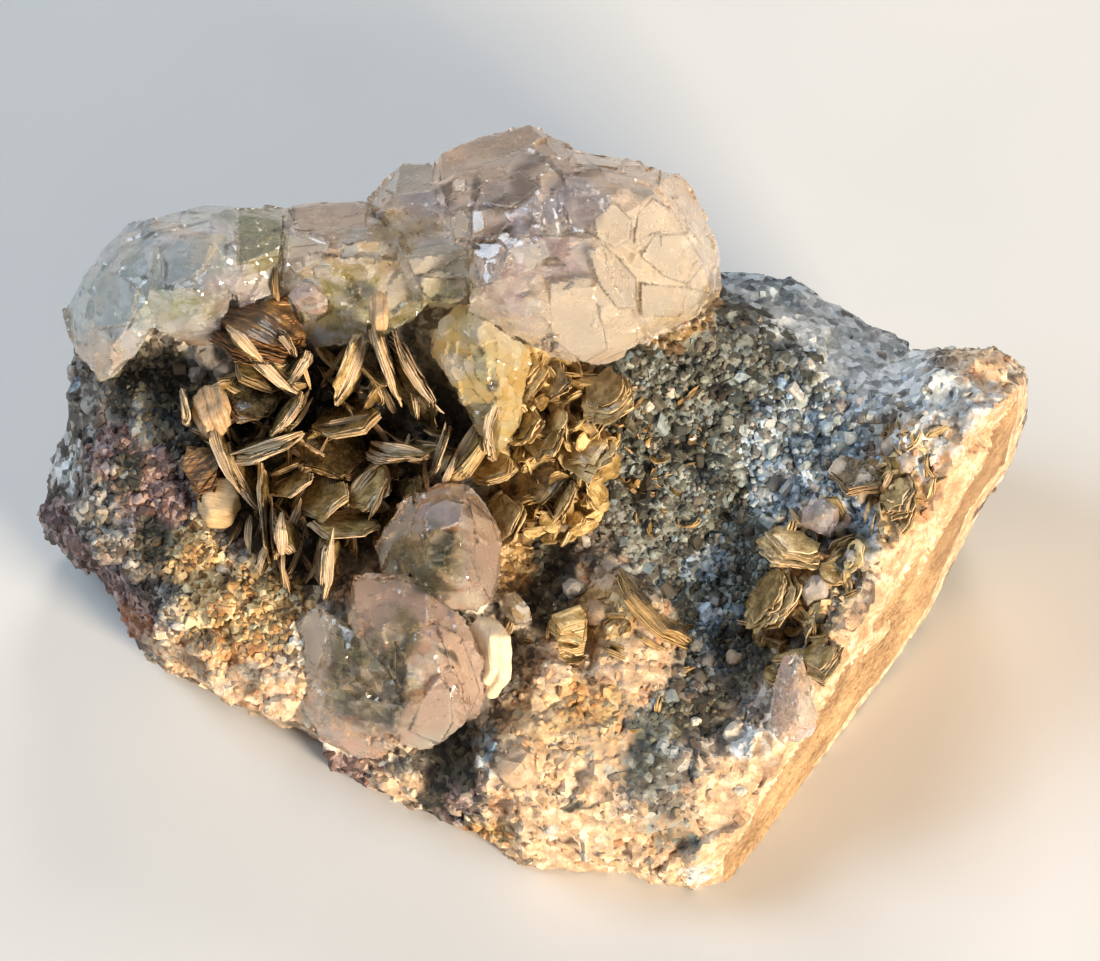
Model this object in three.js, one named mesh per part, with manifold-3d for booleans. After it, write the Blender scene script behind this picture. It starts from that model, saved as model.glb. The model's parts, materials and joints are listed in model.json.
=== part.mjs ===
// A cabinet specimen of clear fluorite with golden brown mica on a block of grey and cream feldspar rock.
// Lengths are millimetres. Everything is laid out on the display face: x runs right, y runs up the face
// and z stands out of it. The last group tips the face forward and stands the block on its flat base.
import * as THREE from "three";
import { ConvexGeometry } from "three/addons/geometries/ConvexGeometry.js";
import { ImprovedNoise } from "three/addons/math/ImprovedNoise.js";
import { mergeVertices } from "three/addons/utils/BufferGeometryUtils.js";
import Module from "manifold-3d";

// Driving dimensions
const SPECIMEN_WIDTH = 110;
const FACE_TIP = THREE.MathUtils.degToRad(35);
const BASE_LIFT = 5;
const REAR_WALL = 67;
const CONTACT_GAP = 0.3;
const BLOCK_CENTRE = { x: -0.3, y: 35.4 };
const WELD = 1e-4;

// Places on the face are given in picture pixels, which these three edges of the specimen turn into
// millimetres
const LEFT_TIP_X = 28;
const RIGHT_CORNER_X = 1046;
const BOTTOM_TIP_Y = 898;
const PIXELS_PER_MM = (RIGHT_CORNER_X - LEFT_TIP_X) / SPECIMEN_WIDTH;
const MIDDLE_X = (LEFT_TIP_X + RIGHT_CORNER_X) / 2;

const wasm = await Module();
wasm.setup();
const noise = new ImprovedNoise();

/** The point of the display face that is seen at picture pixel (x, y), standing out by depth. */
function at([x, y, depth = 0]) {
  return new THREE.Vector3((x - MIDDLE_X) / PIXELS_PER_MM, (BOTTOM_TIP_Y - y) / PIXELS_PER_MM, depth);
}

/** A repeatable source of numbers from 0 to 1. */
function seeded(seed) {
  let state = seed;
  return () => {
    state = (state + 0x6d2b79f5) | 0;
    let mixed = Math.imul(state ^ (state >>> 15), 1 | state);
    mixed = (mixed + Math.imul(mixed ^ (mixed >>> 7), 61 | mixed)) ^ mixed;
    return ((mixed ^ (mixed >>> 14)) >>> 0) / 4294967296;
  };
}

/** A closed three.js geometry as a solid that can be joined and cut. */
function solidFrom(geometry, matrix = new THREE.Matrix4()) {
  const bare = geometry.clone().applyMatrix4(matrix);
  bare.deleteAttribute("normal");
  bare.deleteAttribute("uv");
  const merged = mergeVertices(bare, WELD);
  return new wasm.Manifold(
    new wasm.Mesh({
      numProp: 3,
      vertProperties: new Float32Array(merged.attributes.position.array),
      triVerts: new Uint32Array(merged.index.array),
    }),
  );
}

/** The largest single body of a solid, without the chips that a cut leaves. */
function largestBody(solid) {
  return solid.decompose().sort((a, b) => b.volume() - a.volume())[0];
}

/** A solid as a geometry with flat faces. */
function geometryFrom(solid) {
  const mesh = solid.getMesh();
  const positions = new Float32Array(mesh.numVert * 3);
  for (let i = 0; i < mesh.numVert; i++) {
    positions.set(mesh.vertProperties.subarray(i * mesh.numProp, i * mesh.numProp + 3), i * 3);
  }
  const geometry = new THREE.BufferGeometry();
  geometry.setAttribute("position", new THREE.BufferAttribute(positions, 3));
  geometry.setIndex(new THREE.BufferAttribute(mesh.triVerts, 1));
  const flat = geometry.toNonIndexed();
  flat.computeVertexNormals();
  return flat;
}

function joined(solids) {
  return solids.reduce((whole, next) => whole.add(next));
}

// The rock. Its rim is what the eye sees as the outline: [x, y, depth, slope], where slope is how many
// millimetres the rock drops for each millimetre towards the rim.
const FACE_CENTRE = at([540, 560]);
const ROCK_RIM = [
  [28, 524, -22, 2.2],
  [37, 485, -22, 2.0],
  [40, 462, -21, 1.8],
  [57, 421, -20, 1.8],
  [56, 375, -18, 1.8],
  [62, 352, -17, 2.0],
  [90, 292, -18, 2.0],
  [130, 252, -17, 2.0],
  [200, 236, -15, 2.0],
  [290, 232, -14, 2.0],
  [370, 228, -13, 2.0],
  [450, 205, -9, 2.0],
  [560, 200, -8, 2.0],
  [650, 212, -8, 2.0],
  [700, 255, -12, 1.8],
  [720, 266, -14, 1.4],
  [740, 265, -15, 1.3],
  [769, 259, -16, 1.3],
  [777, 259, -16, 1.3],
  [801, 277, -15, 1.3],
  [822, 287, -14, 1.3],
  [828, 299, -14, 1.3],
  [846, 303, -14, 1.3],
  [862, 311, -14, 1.3],
  [875, 324, -13, 1.3],
  [895, 331, -13, 1.3],
  [915, 342, -13, 1.3],
  [924, 352, -13, 1.4],
  [948, 352, -12, 1.6],
  [960, 346, -12, 1.8],
  [985, 343, -12, 2.0],
  [1003, 346, -12, 2.2],
  [1024, 360, -12, 2.6],
  [1042, 371, -14, 4],
  [1046, 383, -17, 6],
  [1042, 403, -19, 7],
  [1030, 436, -21, 7],
  [1022, 460, -22, 7],
  [993, 507, -24, 7],
  [966, 558, -25, 7],
  [936, 619, -24, 7],
  [906, 659, -22, 7],
  [869, 708, -20, 7],
  [834, 753, -17, 7],
  [807, 788, -15, 6],
  [778, 828, -13, 5],
  [762, 857, -11, 4],
  [748, 868, -9, 2.2],
  [727, 892, -7, 2.2],
  [703, 898, -6, 2.2],
  [687, 892, -6, 2.2],
  [657, 885, -7, 2.4],
  [635, 875, -7, 2.6],
  [609, 874, -8, 2.8],
  [570, 868, -8, 3.0],
  [522, 870, -8, 3.0],
  [502, 857, -8, 3.0],
  [481, 840, -9, 3.2],
  [434, 822, -10, 3.2],
  [381, 800, -11, 3.2],
  [358, 792, -12, 3.2],
  [330, 772, -13, 3.4],
  [323, 748, -14, 3.6],
  [301, 735, -14, 3.8],
  [260, 722, -15, 4.0],
  [210, 695, -16, 4.0],
  [176, 680, -17, 4.0],
  [151, 671, -18, 4.0],
  [130, 641, -18, 4.0],
  [105, 605, -19, 3.8],
  [96, 584, -20, 3.4],
  [66, 561, -21, 3.0],
  [50, 543, -21, 2.6],
  [32, 540, -22, 2.2],
];

// Swells and hollows of the display face: place, rise, reach right, reach up and turn in degrees
const FACE_FORMS = [
  { place: [350, 440], rise: -7, reach: [21, 13], turn: -12 },
  { place: [545, 560], rise: -7, reach: [8, 13], turn: 20 },
  { place: [155, 375], rise: -4, reach: [5, 5], turn: 0 },
  { place: [130, 560], rise: -6, reach: [14, 16], turn: 30 },
  { place: [230, 640], rise: 3, reach: [10, 7], turn: -30 },
  { place: [700, 590], rise: -7, reach: [9, 15], turn: 20 },
  { place: [620, 650], rise: 5, reach: [8, 7], turn: -30 },
  { place: [560, 780], rise: 6, reach: [13, 8], turn: -10 },
  { place: [700, 800], rise: 2, reach: [10, 9], turn: 0 },
  { place: [890, 560], rise: 5, reach: [6, 24], turn: -32 },
  { place: [975, 420], rise: 4, reach: [9, 8], turn: 0 },
  { place: [800, 330], rise: -4, reach: [18, 7], turn: -25 },
  { place: [650, 420], rise: 1, reach: [10, 10], turn: 0 },
  { place: [395, 740], rise: -3, reach: [8, 6], turn: 0 },
  { place: [440, 790], rise: -4, reach: [5, 6], turn: 0 },
];

// Rings of points down the hidden sides: share of the rim's radius, and drop below the rim
const SIDE_ROWS = [
  { share: 1, drop: 0 },
  { share: 0.985, drop: 3 },
  { share: 0.95, drop: 11 },
  { share: 0.9, drop: 22 },
  { share: 0.8, drop: 36 },
  { share: 0.5, drop: 60 },
];
const SIDE_TOP = 30;
const SIDE_ROUGHNESS = { from: 3, rise: 3, turns: 3, rows: 1.7, layer: 5.3 };

// The open face: its sheet, the size of its facets and how uneven they are
const FACE_SHEET = { width: 116, height: 92, depth: 100, below: 4 };
const FACE_CELL = 3.8;
const FACET_SHIFT = { reach: 1.6, size: 2.7, layerX: 21.5, layerY: 33.5 };
const FACE_FLOOR = -45;
const FACE_ROUGHNESS = [
  { rise: 1.3, size: 8, layer: 3.1 },
  { rise: 0.8, size: 3.6, layer: 7.7 },
];
const WIDEST_STEP = THREE.MathUtils.degToRad(5.5);

/** The rim as angles round the face centre, with extra steps where its points lie far apart. */
function rimColumns() {
  const corners = ROCK_RIM.map(([x, y, depth, slope]) => {
    const point = at([x, y, depth]).sub(FACE_CENTRE);
    return { angle: Math.atan2(point.y, point.x), radius: Math.hypot(point.x, point.y), depth, slope };
  }).sort((a, b) => a.angle - b.angle);
  const columns = [];
  corners.forEach((from, i) => {
    const to = { ...corners[(i + 1) % corners.length] };
    if (i === corners.length - 1) to.angle += 2 * Math.PI;
    const steps = Math.max(1, Math.ceil((to.angle - from.angle) / WIDEST_STEP));
    for (let s = 0; s < steps; s++) {
      const share = s / steps;
      const mix = (key) => THREE.MathUtils.lerp(from[key], to[key], share);
      columns.push({ angle: mix("angle"), radius: mix("radius"), depth: mix("depth"), slope: mix("slope") });
    }
  });
  return columns;
}

const COLUMNS = rimColumns();

/** How far the open face stands out at (x, y), before it falls away to the rim. */
function faceHeight(x, y) {
  let height = 0;
  for (const { rise, size, layer } of FACE_ROUGHNESS) height += rise * noise.noise(x / size, y / size, layer);
  for (const form of FACE_FORMS) {
    const middle = at(form.place);
    const turn = THREE.MathUtils.degToRad(form.turn);
    const right = (x - middle.x) * Math.cos(turn) + (y - middle.y) * Math.sin(turn);
    const up = (y - middle.y) * Math.cos(turn) - (x - middle.x) * Math.sin(turn);
    height += form.rise * Math.exp(-((right / form.reach[0]) ** 2) - (up / form.reach[1]) ** 2);
  }
  return height;
}

/** The rock's surface at a place on the face, with its fall to the rim. */
function surfaceHeight(x, y) {
  const angle = Math.atan2(y - FACE_CENTRE.y, x - FACE_CENTRE.x);
  const radius = Math.hypot(x - FACE_CENTRE.x, y - FACE_CENTRE.y);
  let next = COLUMNS.findIndex((column) => column.angle > angle);
  if (next < 0) next = 0;
  const from = COLUMNS[(next + COLUMNS.length - 1) % COLUMNS.length];
  const to = COLUMNS[next];
  const span = THREE.MathUtils.euclideanModulo(to.angle - from.angle, 2 * Math.PI);
  const share = THREE.MathUtils.euclideanModulo(angle - from.angle, 2 * Math.PI) / span;
  const mix = (key) => THREE.MathUtils.lerp(from[key], to[key], share);
  return Math.min(faceHeight(x, y), mix("depth") + mix("slope") * (mix("radius") - radius));
}

/** The open face as the top of a tall block, with small irregular facets. */
function faceBlock(grown) {
  const { width, height, depth, below } = FACE_SHEET;
  const { reach, size, layerX, layerY } = FACET_SHIFT;
  const across = Math.round(width / FACE_CELL);
  const up = Math.round(height / FACE_CELL);
  const geometry = new THREE.BoxGeometry(width, height, depth, across, up, 1);
  geometry.translate(0, height / 2 - below, 0);
  const position = geometry.attributes.position;
  for (let i = 0; i < position.count; i++) {
    const gridX = position.getX(i);
    const gridY = position.getY(i);
    const x = gridX + reach * noise.noise(gridX / size, gridY / size, layerX);
    const y = gridY + reach * noise.noise(gridX / size, gridY / size, layerY);
    const front = position.getZ(i) > 0;
    position.setXYZ(i, x, y, front ? Math.max(surfaceHeight(x, y), FACE_FLOOR) + grown : -depth);
  }
  return solidFrom(geometry);
}

/** The block's outline carried back through its sides, which narrow and roughen behind the rim. */
function rockSides(grown) {
  const rows = SIDE_ROWS.length;
  const geometry = new THREE.CylinderGeometry(1, 1, rows, COLUMNS.length, rows).rotateX(Math.PI / 2);
  const position = geometry.attributes.position;
  for (let i = 0; i < position.count; i++) {
    const row = Math.round(rows / 2 - position.getZ(i));
    const turn = Math.atan2(position.getY(i), position.getX(i)) / (2 * Math.PI);
    const onAxis = Math.hypot(position.getX(i), position.getY(i)) < 0.5;
    // An eighth of a step keeps a quarter turn of the seam from rounding both ways
    const step = Math.round(turn * COLUMNS.length + 1 / 8);
    const column = COLUMNS[THREE.MathUtils.euclideanModulo(step, COLUMNS.length)];
    const { share, drop } = SIDE_ROWS[Math.max(0, row - 1)];
    const { from, rise, turns, rows: tall, layer } = SIDE_ROUGHNESS;
    const rough = row < from ? 0 : rise * noise.noise(turns * column.angle, row / tall, layer);
    const radius = onAxis ? 0 : share * column.radius + rough + grown;
    const depth = row === 0 ? SIDE_TOP : (onAxis ? COLUMNS[0].depth : column.depth) - drop;
    const x = FACE_CENTRE.x + radius * Math.cos(column.angle);
    const y = FACE_CENTRE.y + radius * Math.sin(column.angle);
    position.setXYZ(i, x, y, depth);
  }
  return solidFrom(geometry);
}

/** The rock before its base and back are broken off. Grown makes the larger copy that other pieces clear. */
function rockBody(grown = 0) {
  const lumpy = joined([faceBlock(grown), ...grains(grown)]);
  return cleaved(lumpy, grown).intersect(rockSides(grown));
}

/** Half of space as a large box, on the side of a plane that its outward normal leaves. */
function keptSide(point, outward) {
  const reach = 400;
  const box = new THREE.BoxGeometry(reach, reach, reach).translate(0, 0, -reach / 2);
  const up = new THREE.Vector3(0, 0, 1);
  const turn = new THREE.Quaternion().setFromUnitVectors(up, outward.clone().normalize());
  return solidFrom(box, new THREE.Matrix4().compose(point, turn, new THREE.Vector3(1, 1, 1)));
}

// Turns a direction or a place of the standing block into the face's own frame
const TO_FACE = new THREE.Matrix4().makeRotationX(-FACE_TIP);
const standing = (x, y, z) => new THREE.Vector3(x, y, z - BASE_LIFT).applyMatrix4(TO_FACE);
const heading = (x, y, z) => new THREE.Vector3(x, y, z).applyMatrix4(TO_FACE);

// The smooth side face at the right: two places on its upper edge and one at its foot
const SIDE_FACE = [[1008, 420, -1], [770, 785, 1], [936, 619, -20]];

/** Splits the right side off along one clean face. */
function cleaved(rock, grown) {
  const [top, low, foot] = SIDE_FACE.map(at);
  const outward = new THREE.Vector3().crossVectors(low.clone().sub(top), foot.clone().sub(top)).normalize();
  if (outward.x < 0) outward.negate();
  return rock.intersect(keptSide(low.addScaledVector(outward, grown), outward));
}

// Where the standing block ends below and behind: the flat base, the back and its two corners
const BREAKS = [
  { place: [0, 0, 0], outward: [0, 0, -1] },
  { place: [0, REAR_WALL, 20], outward: [0.06, 1, 0.1] },
  { place: [-38, REAR_WALL - 4, 12], outward: [-0.7, 1, -0.25] },
  { place: [44, REAR_WALL - 8, 10], outward: [0.9, 1, -0.2] },
];

/** Cuts the base flat and breaks the back and the hidden corners of the rock away. */
function broken(rock) {
  return BREAKS.reduce(
    (left, { place, outward }) => left.intersect(keptSide(standing(...place), heading(...outward))),
    rock,
  );
}

// Single grains and knobs that stand out of the rock: place, size across and how flat they lie
const KNOBS = [
  [514, 762, 11.1, 0.5],
  [560, 690, 7.8, 0.6],
  [640, 620, 7.8, 0.6],
  [600, 840, 6.5, 0.5],
  [655, 860, 6.5, 0.5],
  [735, 760, 6.5, 0.6],
  [745, 830, 6.5, 0.5],
  [690, 700, 5.2, 0.7],
  [470, 800, 5.2, 0.5],
  [400, 770, 6.5, 0.6],
  [340, 745, 6.5, 0.5],
  [280, 690, 6.5, 0.5],
  [240, 610, 7.8, 0.5],
  [200, 560, 6.5, 0.6],
  [170, 500, 6.5, 0.7],
  [110, 470, 5.2, 0.7],
  [120, 540, 6.5, 0.6],
  [90, 520, 5.2, 0.6],
  [180, 620, 6.5, 0.5],
  [230, 680, 6.5, 0.5],
  [78, 365, 5.2, 0.8],
  [75, 400, 5.2, 0.8],
  [950, 390, 6.5, 0.5],
  [985, 375, 6.5, 0.4],
  [930, 430, 6.5, 0.6],
  [900, 500, 6.5, 0.7],
  [870, 560, 6.5, 0.7],
  [760, 420, 5.2, 0.6],
  [720, 470, 5.2, 0.7],
  [660, 500, 5.2, 0.7],
  [800, 380, 5.2, 0.5],
  [760, 600, 5.2, 0.7],
  [700, 640, 5.2, 0.7],
  [640, 370, 6.5, 0.7],
  [700, 340, 6.5, 0.6],
];
const GRAIN_COUNT = 18;
const GRAIN_FIELD = { left: 600, right: 880, top: 340, bottom: 640, size: [2.2, 3.8], flatness: 0.9 };
const LUMP_CORNERS = 8;
const LUMP_SPIRAL = 2.4;
const LUMP_UNEVENNESS = { turn: 0.9, least: 0.9, more: 0.35 };
const LUMP_SUNK = 0.08;

/** One lump with flat facets, turned by chance, half sunk in the rock. */
function lump(x, y, size, flatness, chance, swollen) {
  const place = at([x, y]);
  place.z = surfaceHeight(place.x, place.y) - LUMP_SUNK * size;
  const corners = [];
  for (let i = 0; i < LUMP_CORNERS; i++) {
    const rise = 1 - (2 * (i + 0.5)) / LUMP_CORNERS;
    const turn = i * LUMP_SPIRAL + LUMP_UNEVENNESS.turn * chance();
    const ring = Math.sqrt(1 - rise * rise);
    const radius = (size / 2) * (LUMP_UNEVENNESS.least + LUMP_UNEVENNESS.more * chance()) + swollen;
    corners.push(
      new THREE.Vector3(ring * Math.cos(turn), ring * Math.sin(turn), rise * flatness)
        .multiplyScalar(radius)
        .add(place),
    );
  }
  return solidFrom(new ConvexGeometry(corners));
}

/** The knobs that were set by hand and the grains of the grey crust. */
function grains(swollen) {
  const chance = seeded(11);
  const made = KNOBS.map(([x, y, size, flatness]) => lump(x, y, size, flatness, chance, swollen));
  const { left, right, top, bottom, size, flatness } = GRAIN_FIELD;
  for (let i = 0; i < GRAIN_COUNT; i++) {
    const x = THREE.MathUtils.lerp(left, right, chance());
    const y = THREE.MathUtils.lerp(top, bottom, chance());
    made.push(lump(x, y, THREE.MathUtils.lerp(size[0], size[1], chance()), flatness, chance, swollen));
  }
  return made;
}

// Fluorite. Each crystal is the hull of its corners: [x, y, depth]
const LEFT_CRYSTALS = [
  [
    [57, 322, -11], [62, 306, -8], [80, 288, -6], [102, 242, -6], [134, 216, -5], [168, 212, -5],
    [176, 262, 3], [120, 262, 1], [96, 300, 1], [140, 312, 5], [152, 334, 2], [100, 384, -3], [78, 356, -5],
    [118, 372, -3], [90, 300, -17], [150, 240, -14], [120, 360, -16],
  ],
  [
    [132, 218, -6], [198, 204, -6], [224, 203, -6], [242, 214, -5], [246, 262, 3], [205, 236, 4],
    [160, 244, 3], [150, 290, 6], [200, 292, 9], [232, 300, 5], [210, 344, 0], [173, 341, 1],
    [150, 320, 3], [160, 240, -15], [230, 240, -15], [200, 330, -14],
  ],
  [
    [222, 206, -6], [263, 205, -6], [286, 214, -6], [290, 240, -2], [284, 284, 0], [262, 300, 0],
    [238, 304, 1], [236, 250, 3], [268, 240, 3], [240, 230, -16], [285, 240, -16], [270, 300, -14],
  ],
];
const MIDDLE_CRYSTALS = [
  [
    [279, 211, -6], [295, 202, -5], [355, 199, -4], [372, 206, -4], [400, 216, -3], [288, 246, 3],
    [370, 240, 5], [410, 246, 5], [284, 284, 1], [330, 290, 0], [400, 290, 0], [290, 240, -15],
    [400, 240, -13], [340, 320, -12],
  ],
  [
    [288, 262, 1], [320, 256, 4], [360, 262, 6], [420, 270, 6], [424, 312, 3], [392, 334, 1],
    [350, 346, 0], [312, 350, -2], [296, 326, -2], [300, 300, -13], [400, 300, -13], [340, 340, -12],
  ],
  [
    [392, 206, 1], [430, 210, 3], [470, 236, 6], [409, 260, 8], [474, 254, 9], [474, 278, 9],
    [462, 300, 7], [430, 306, 7], [414, 290, 7], [400, 300, 2], [400, 240, -10], [460, 300, -10],
  ],
];
const LARGE_CRYSTALS = [
  [
    [367, 198, -3], [398, 166, 0], [433, 163, 1], [452, 180, 6], [452, 214, 9], [410, 204, 7],
    [384, 214, 5], [400, 236, 4], [450, 250, 6], [390, 210, -9], [440, 200, -8], [440, 250, -8],
  ],
  [
    [439, 155, 1], [457, 146, 2], [483, 142, 2], [507, 128, 3], [533, 125, 3], [547, 129, 3],
    [576, 153, 3], [584, 170, 6], [560, 176, 10], [440, 192, 8], [446, 214, 11], [500, 196, 12],
    [480, 250, 14], [560, 240, 16], [580, 260, 15], [450, 240, 9], [450, 190, -7], [560, 180, -6],
    [500, 260, -6],
  ],
  [
    [566, 158, 3], [611, 154, 1], [654, 164, 0], [680, 172, -1], [693, 190, -2], [710, 227, -5],
    [716, 244, -6], [719, 266, -8], [720, 300, -8], [640, 184, 9], [598, 190, 12], [594, 236, 16],
    [650, 200, 11], [690, 240, 4], [706, 284, 1], [604, 300, 14], [660, 318, 8], [690, 320, 1],
    [640, 340, 6], [600, 210, -7], [700, 260, -14], [640, 330, -8],
  ],
  [
    [556, 148, 3], [606, 156, 3], [572, 172, 8], [604, 176, 9], [560, 214, 13], [600, 222, 15],
    [576, 252, 14], [606, 262, 14], [560, 180, -6], [610, 190, -6], [590, 260, -6],
  ],
  [
    [470, 250, 13], [540, 236, 16], [600, 240, 17], [618, 290, 17], [590, 330, 15], [480, 290, 15],
    [470, 312, 9], [540, 348, 10], [590, 368, 8], [622, 358, 8], [650, 342, 7], [500, 260, -6],
    [600, 260, -6], [590, 350, -6], [500, 330, -6],
  ],
];
const HONEY_CRYSTALS = [
  [
    [456, 304, 4], [482, 302, 5], [512, 330, 5], [532, 350, 3], [524, 398, 3], [518, 432, 1],
    [500, 452, -1], [482, 440, 1], [464, 402, 3], [446, 370, 3], [432, 350, 2], [440, 322, 3],
    [480, 340, 8], [500, 380, 7], [470, 330, -10], [510, 440, -10], [440, 350, -9],
  ],
];
const FRONT_CRYSTALS = [
  [
    [375, 545, 0], [390, 523, 1], [408, 495, 1], [446, 484, 1], [466, 482, 0], [490, 510, 0],
    [501, 532, 0], [500, 566, 0], [498, 590, 1], [475, 614, 2], [420, 600, 2], [382, 574, 1],
    [420, 530, 7], [455, 505, 7], [480, 530, 5], [470, 580, 7], [430, 570, 8], [400, 520, -10],
    [480, 520, -10], [480, 600, -9],
  ],
  [
    [349, 600, 2], [356, 572, 3], [381, 573, 5], [412, 577, 6], [444, 601, 7], [468, 621, 7],
    [477, 644, 6], [484, 668, 4], [486, 694, 2], [479, 720, 1], [458, 725, 3], [440, 640, 11],
    [400, 620, 10], [370, 640, 8], [440, 690, 9], [400, 700, 9], [360, 700, 4], [360, 600, -8],
    [460, 640, -8], [460, 710, -8],
  ],
  [
    [303, 612, 1], [322, 605, 2], [340, 640, 5], [299, 644, 0], [284, 668, -2], [295, 699, -3],
    [319, 740, -4], [350, 690, 5], [380, 650, 7], [400, 720, 4], [380, 760, -2], [345, 756, -4],
    [320, 640, -10], [330, 730, -11], [390, 740, -10],
  ],
  [
    [432, 660, 8], [456, 664, 9], [470, 700, 7], [458, 730, 4], [431, 748, 1], [395, 747, 1],
    [400, 700, 8], [440, 700, 10], [420, 740, -8], [460, 700, -8], [410, 680, -6],
  ],
];
const LILAC_CRYSTALS = [
  [
    [288, 296, 3], [296, 285, 3], [312, 282, 3], [326, 290, 2], [335, 304, 1], [330, 318, 0],
    [300, 312, 2], [312, 296, 6], [300, 300, -6], [326, 310, -6],
  ],
];
const PURPLE_CRYSTALS = [
  [
    [783, 657, 4], [794, 651, 4], [804, 668, 4], [815, 708, 5], [812, 732, 5], [799, 742, 5],
    [780, 740, 5], [768, 726, 4], [771, 708, 4], [780, 684, 4], [794, 676, 8], [796, 716, 10],
    [790, 670, -6], [800, 720, -6], [778, 720, -6],
  ],
];
const PALE_CRYSTALS = [
  [
    [799, 525, 1], [802, 509, 1], [823, 497, 2], [839, 507, 2], [842, 520, 1], [831, 539, 1],
    [815, 531, 2], [820, 515, 6], [810, 520, -6], [832, 520, -6],
  ],
];
const CUBE_CRYSTALS = [
  [
    [499, 599, 1], [516, 590, 2], [531, 610, 2], [529, 625, 1], [516, 627, 0], [501, 612, 0],
    [514, 606, 4], [506, 606, -7], [524, 616, -7],
  ],
];

/** Crystals that grew together, as one solid. Swollen makes the larger copy that the mica clears. */
function crystalGroup(crystals, swollen = 0) {
  return joined(
    crystals.map((corners) => {
      const points = corners.map(at);
      const middle = new THREE.Box3().setFromPoints(points).getCenter(new THREE.Vector3());
      points.forEach((point) => point.addScaledVector(point.clone().sub(middle).normalize(), swollen));
      return solidFrom(new ConvexGeometry(points));
    }),
  );
}

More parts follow.
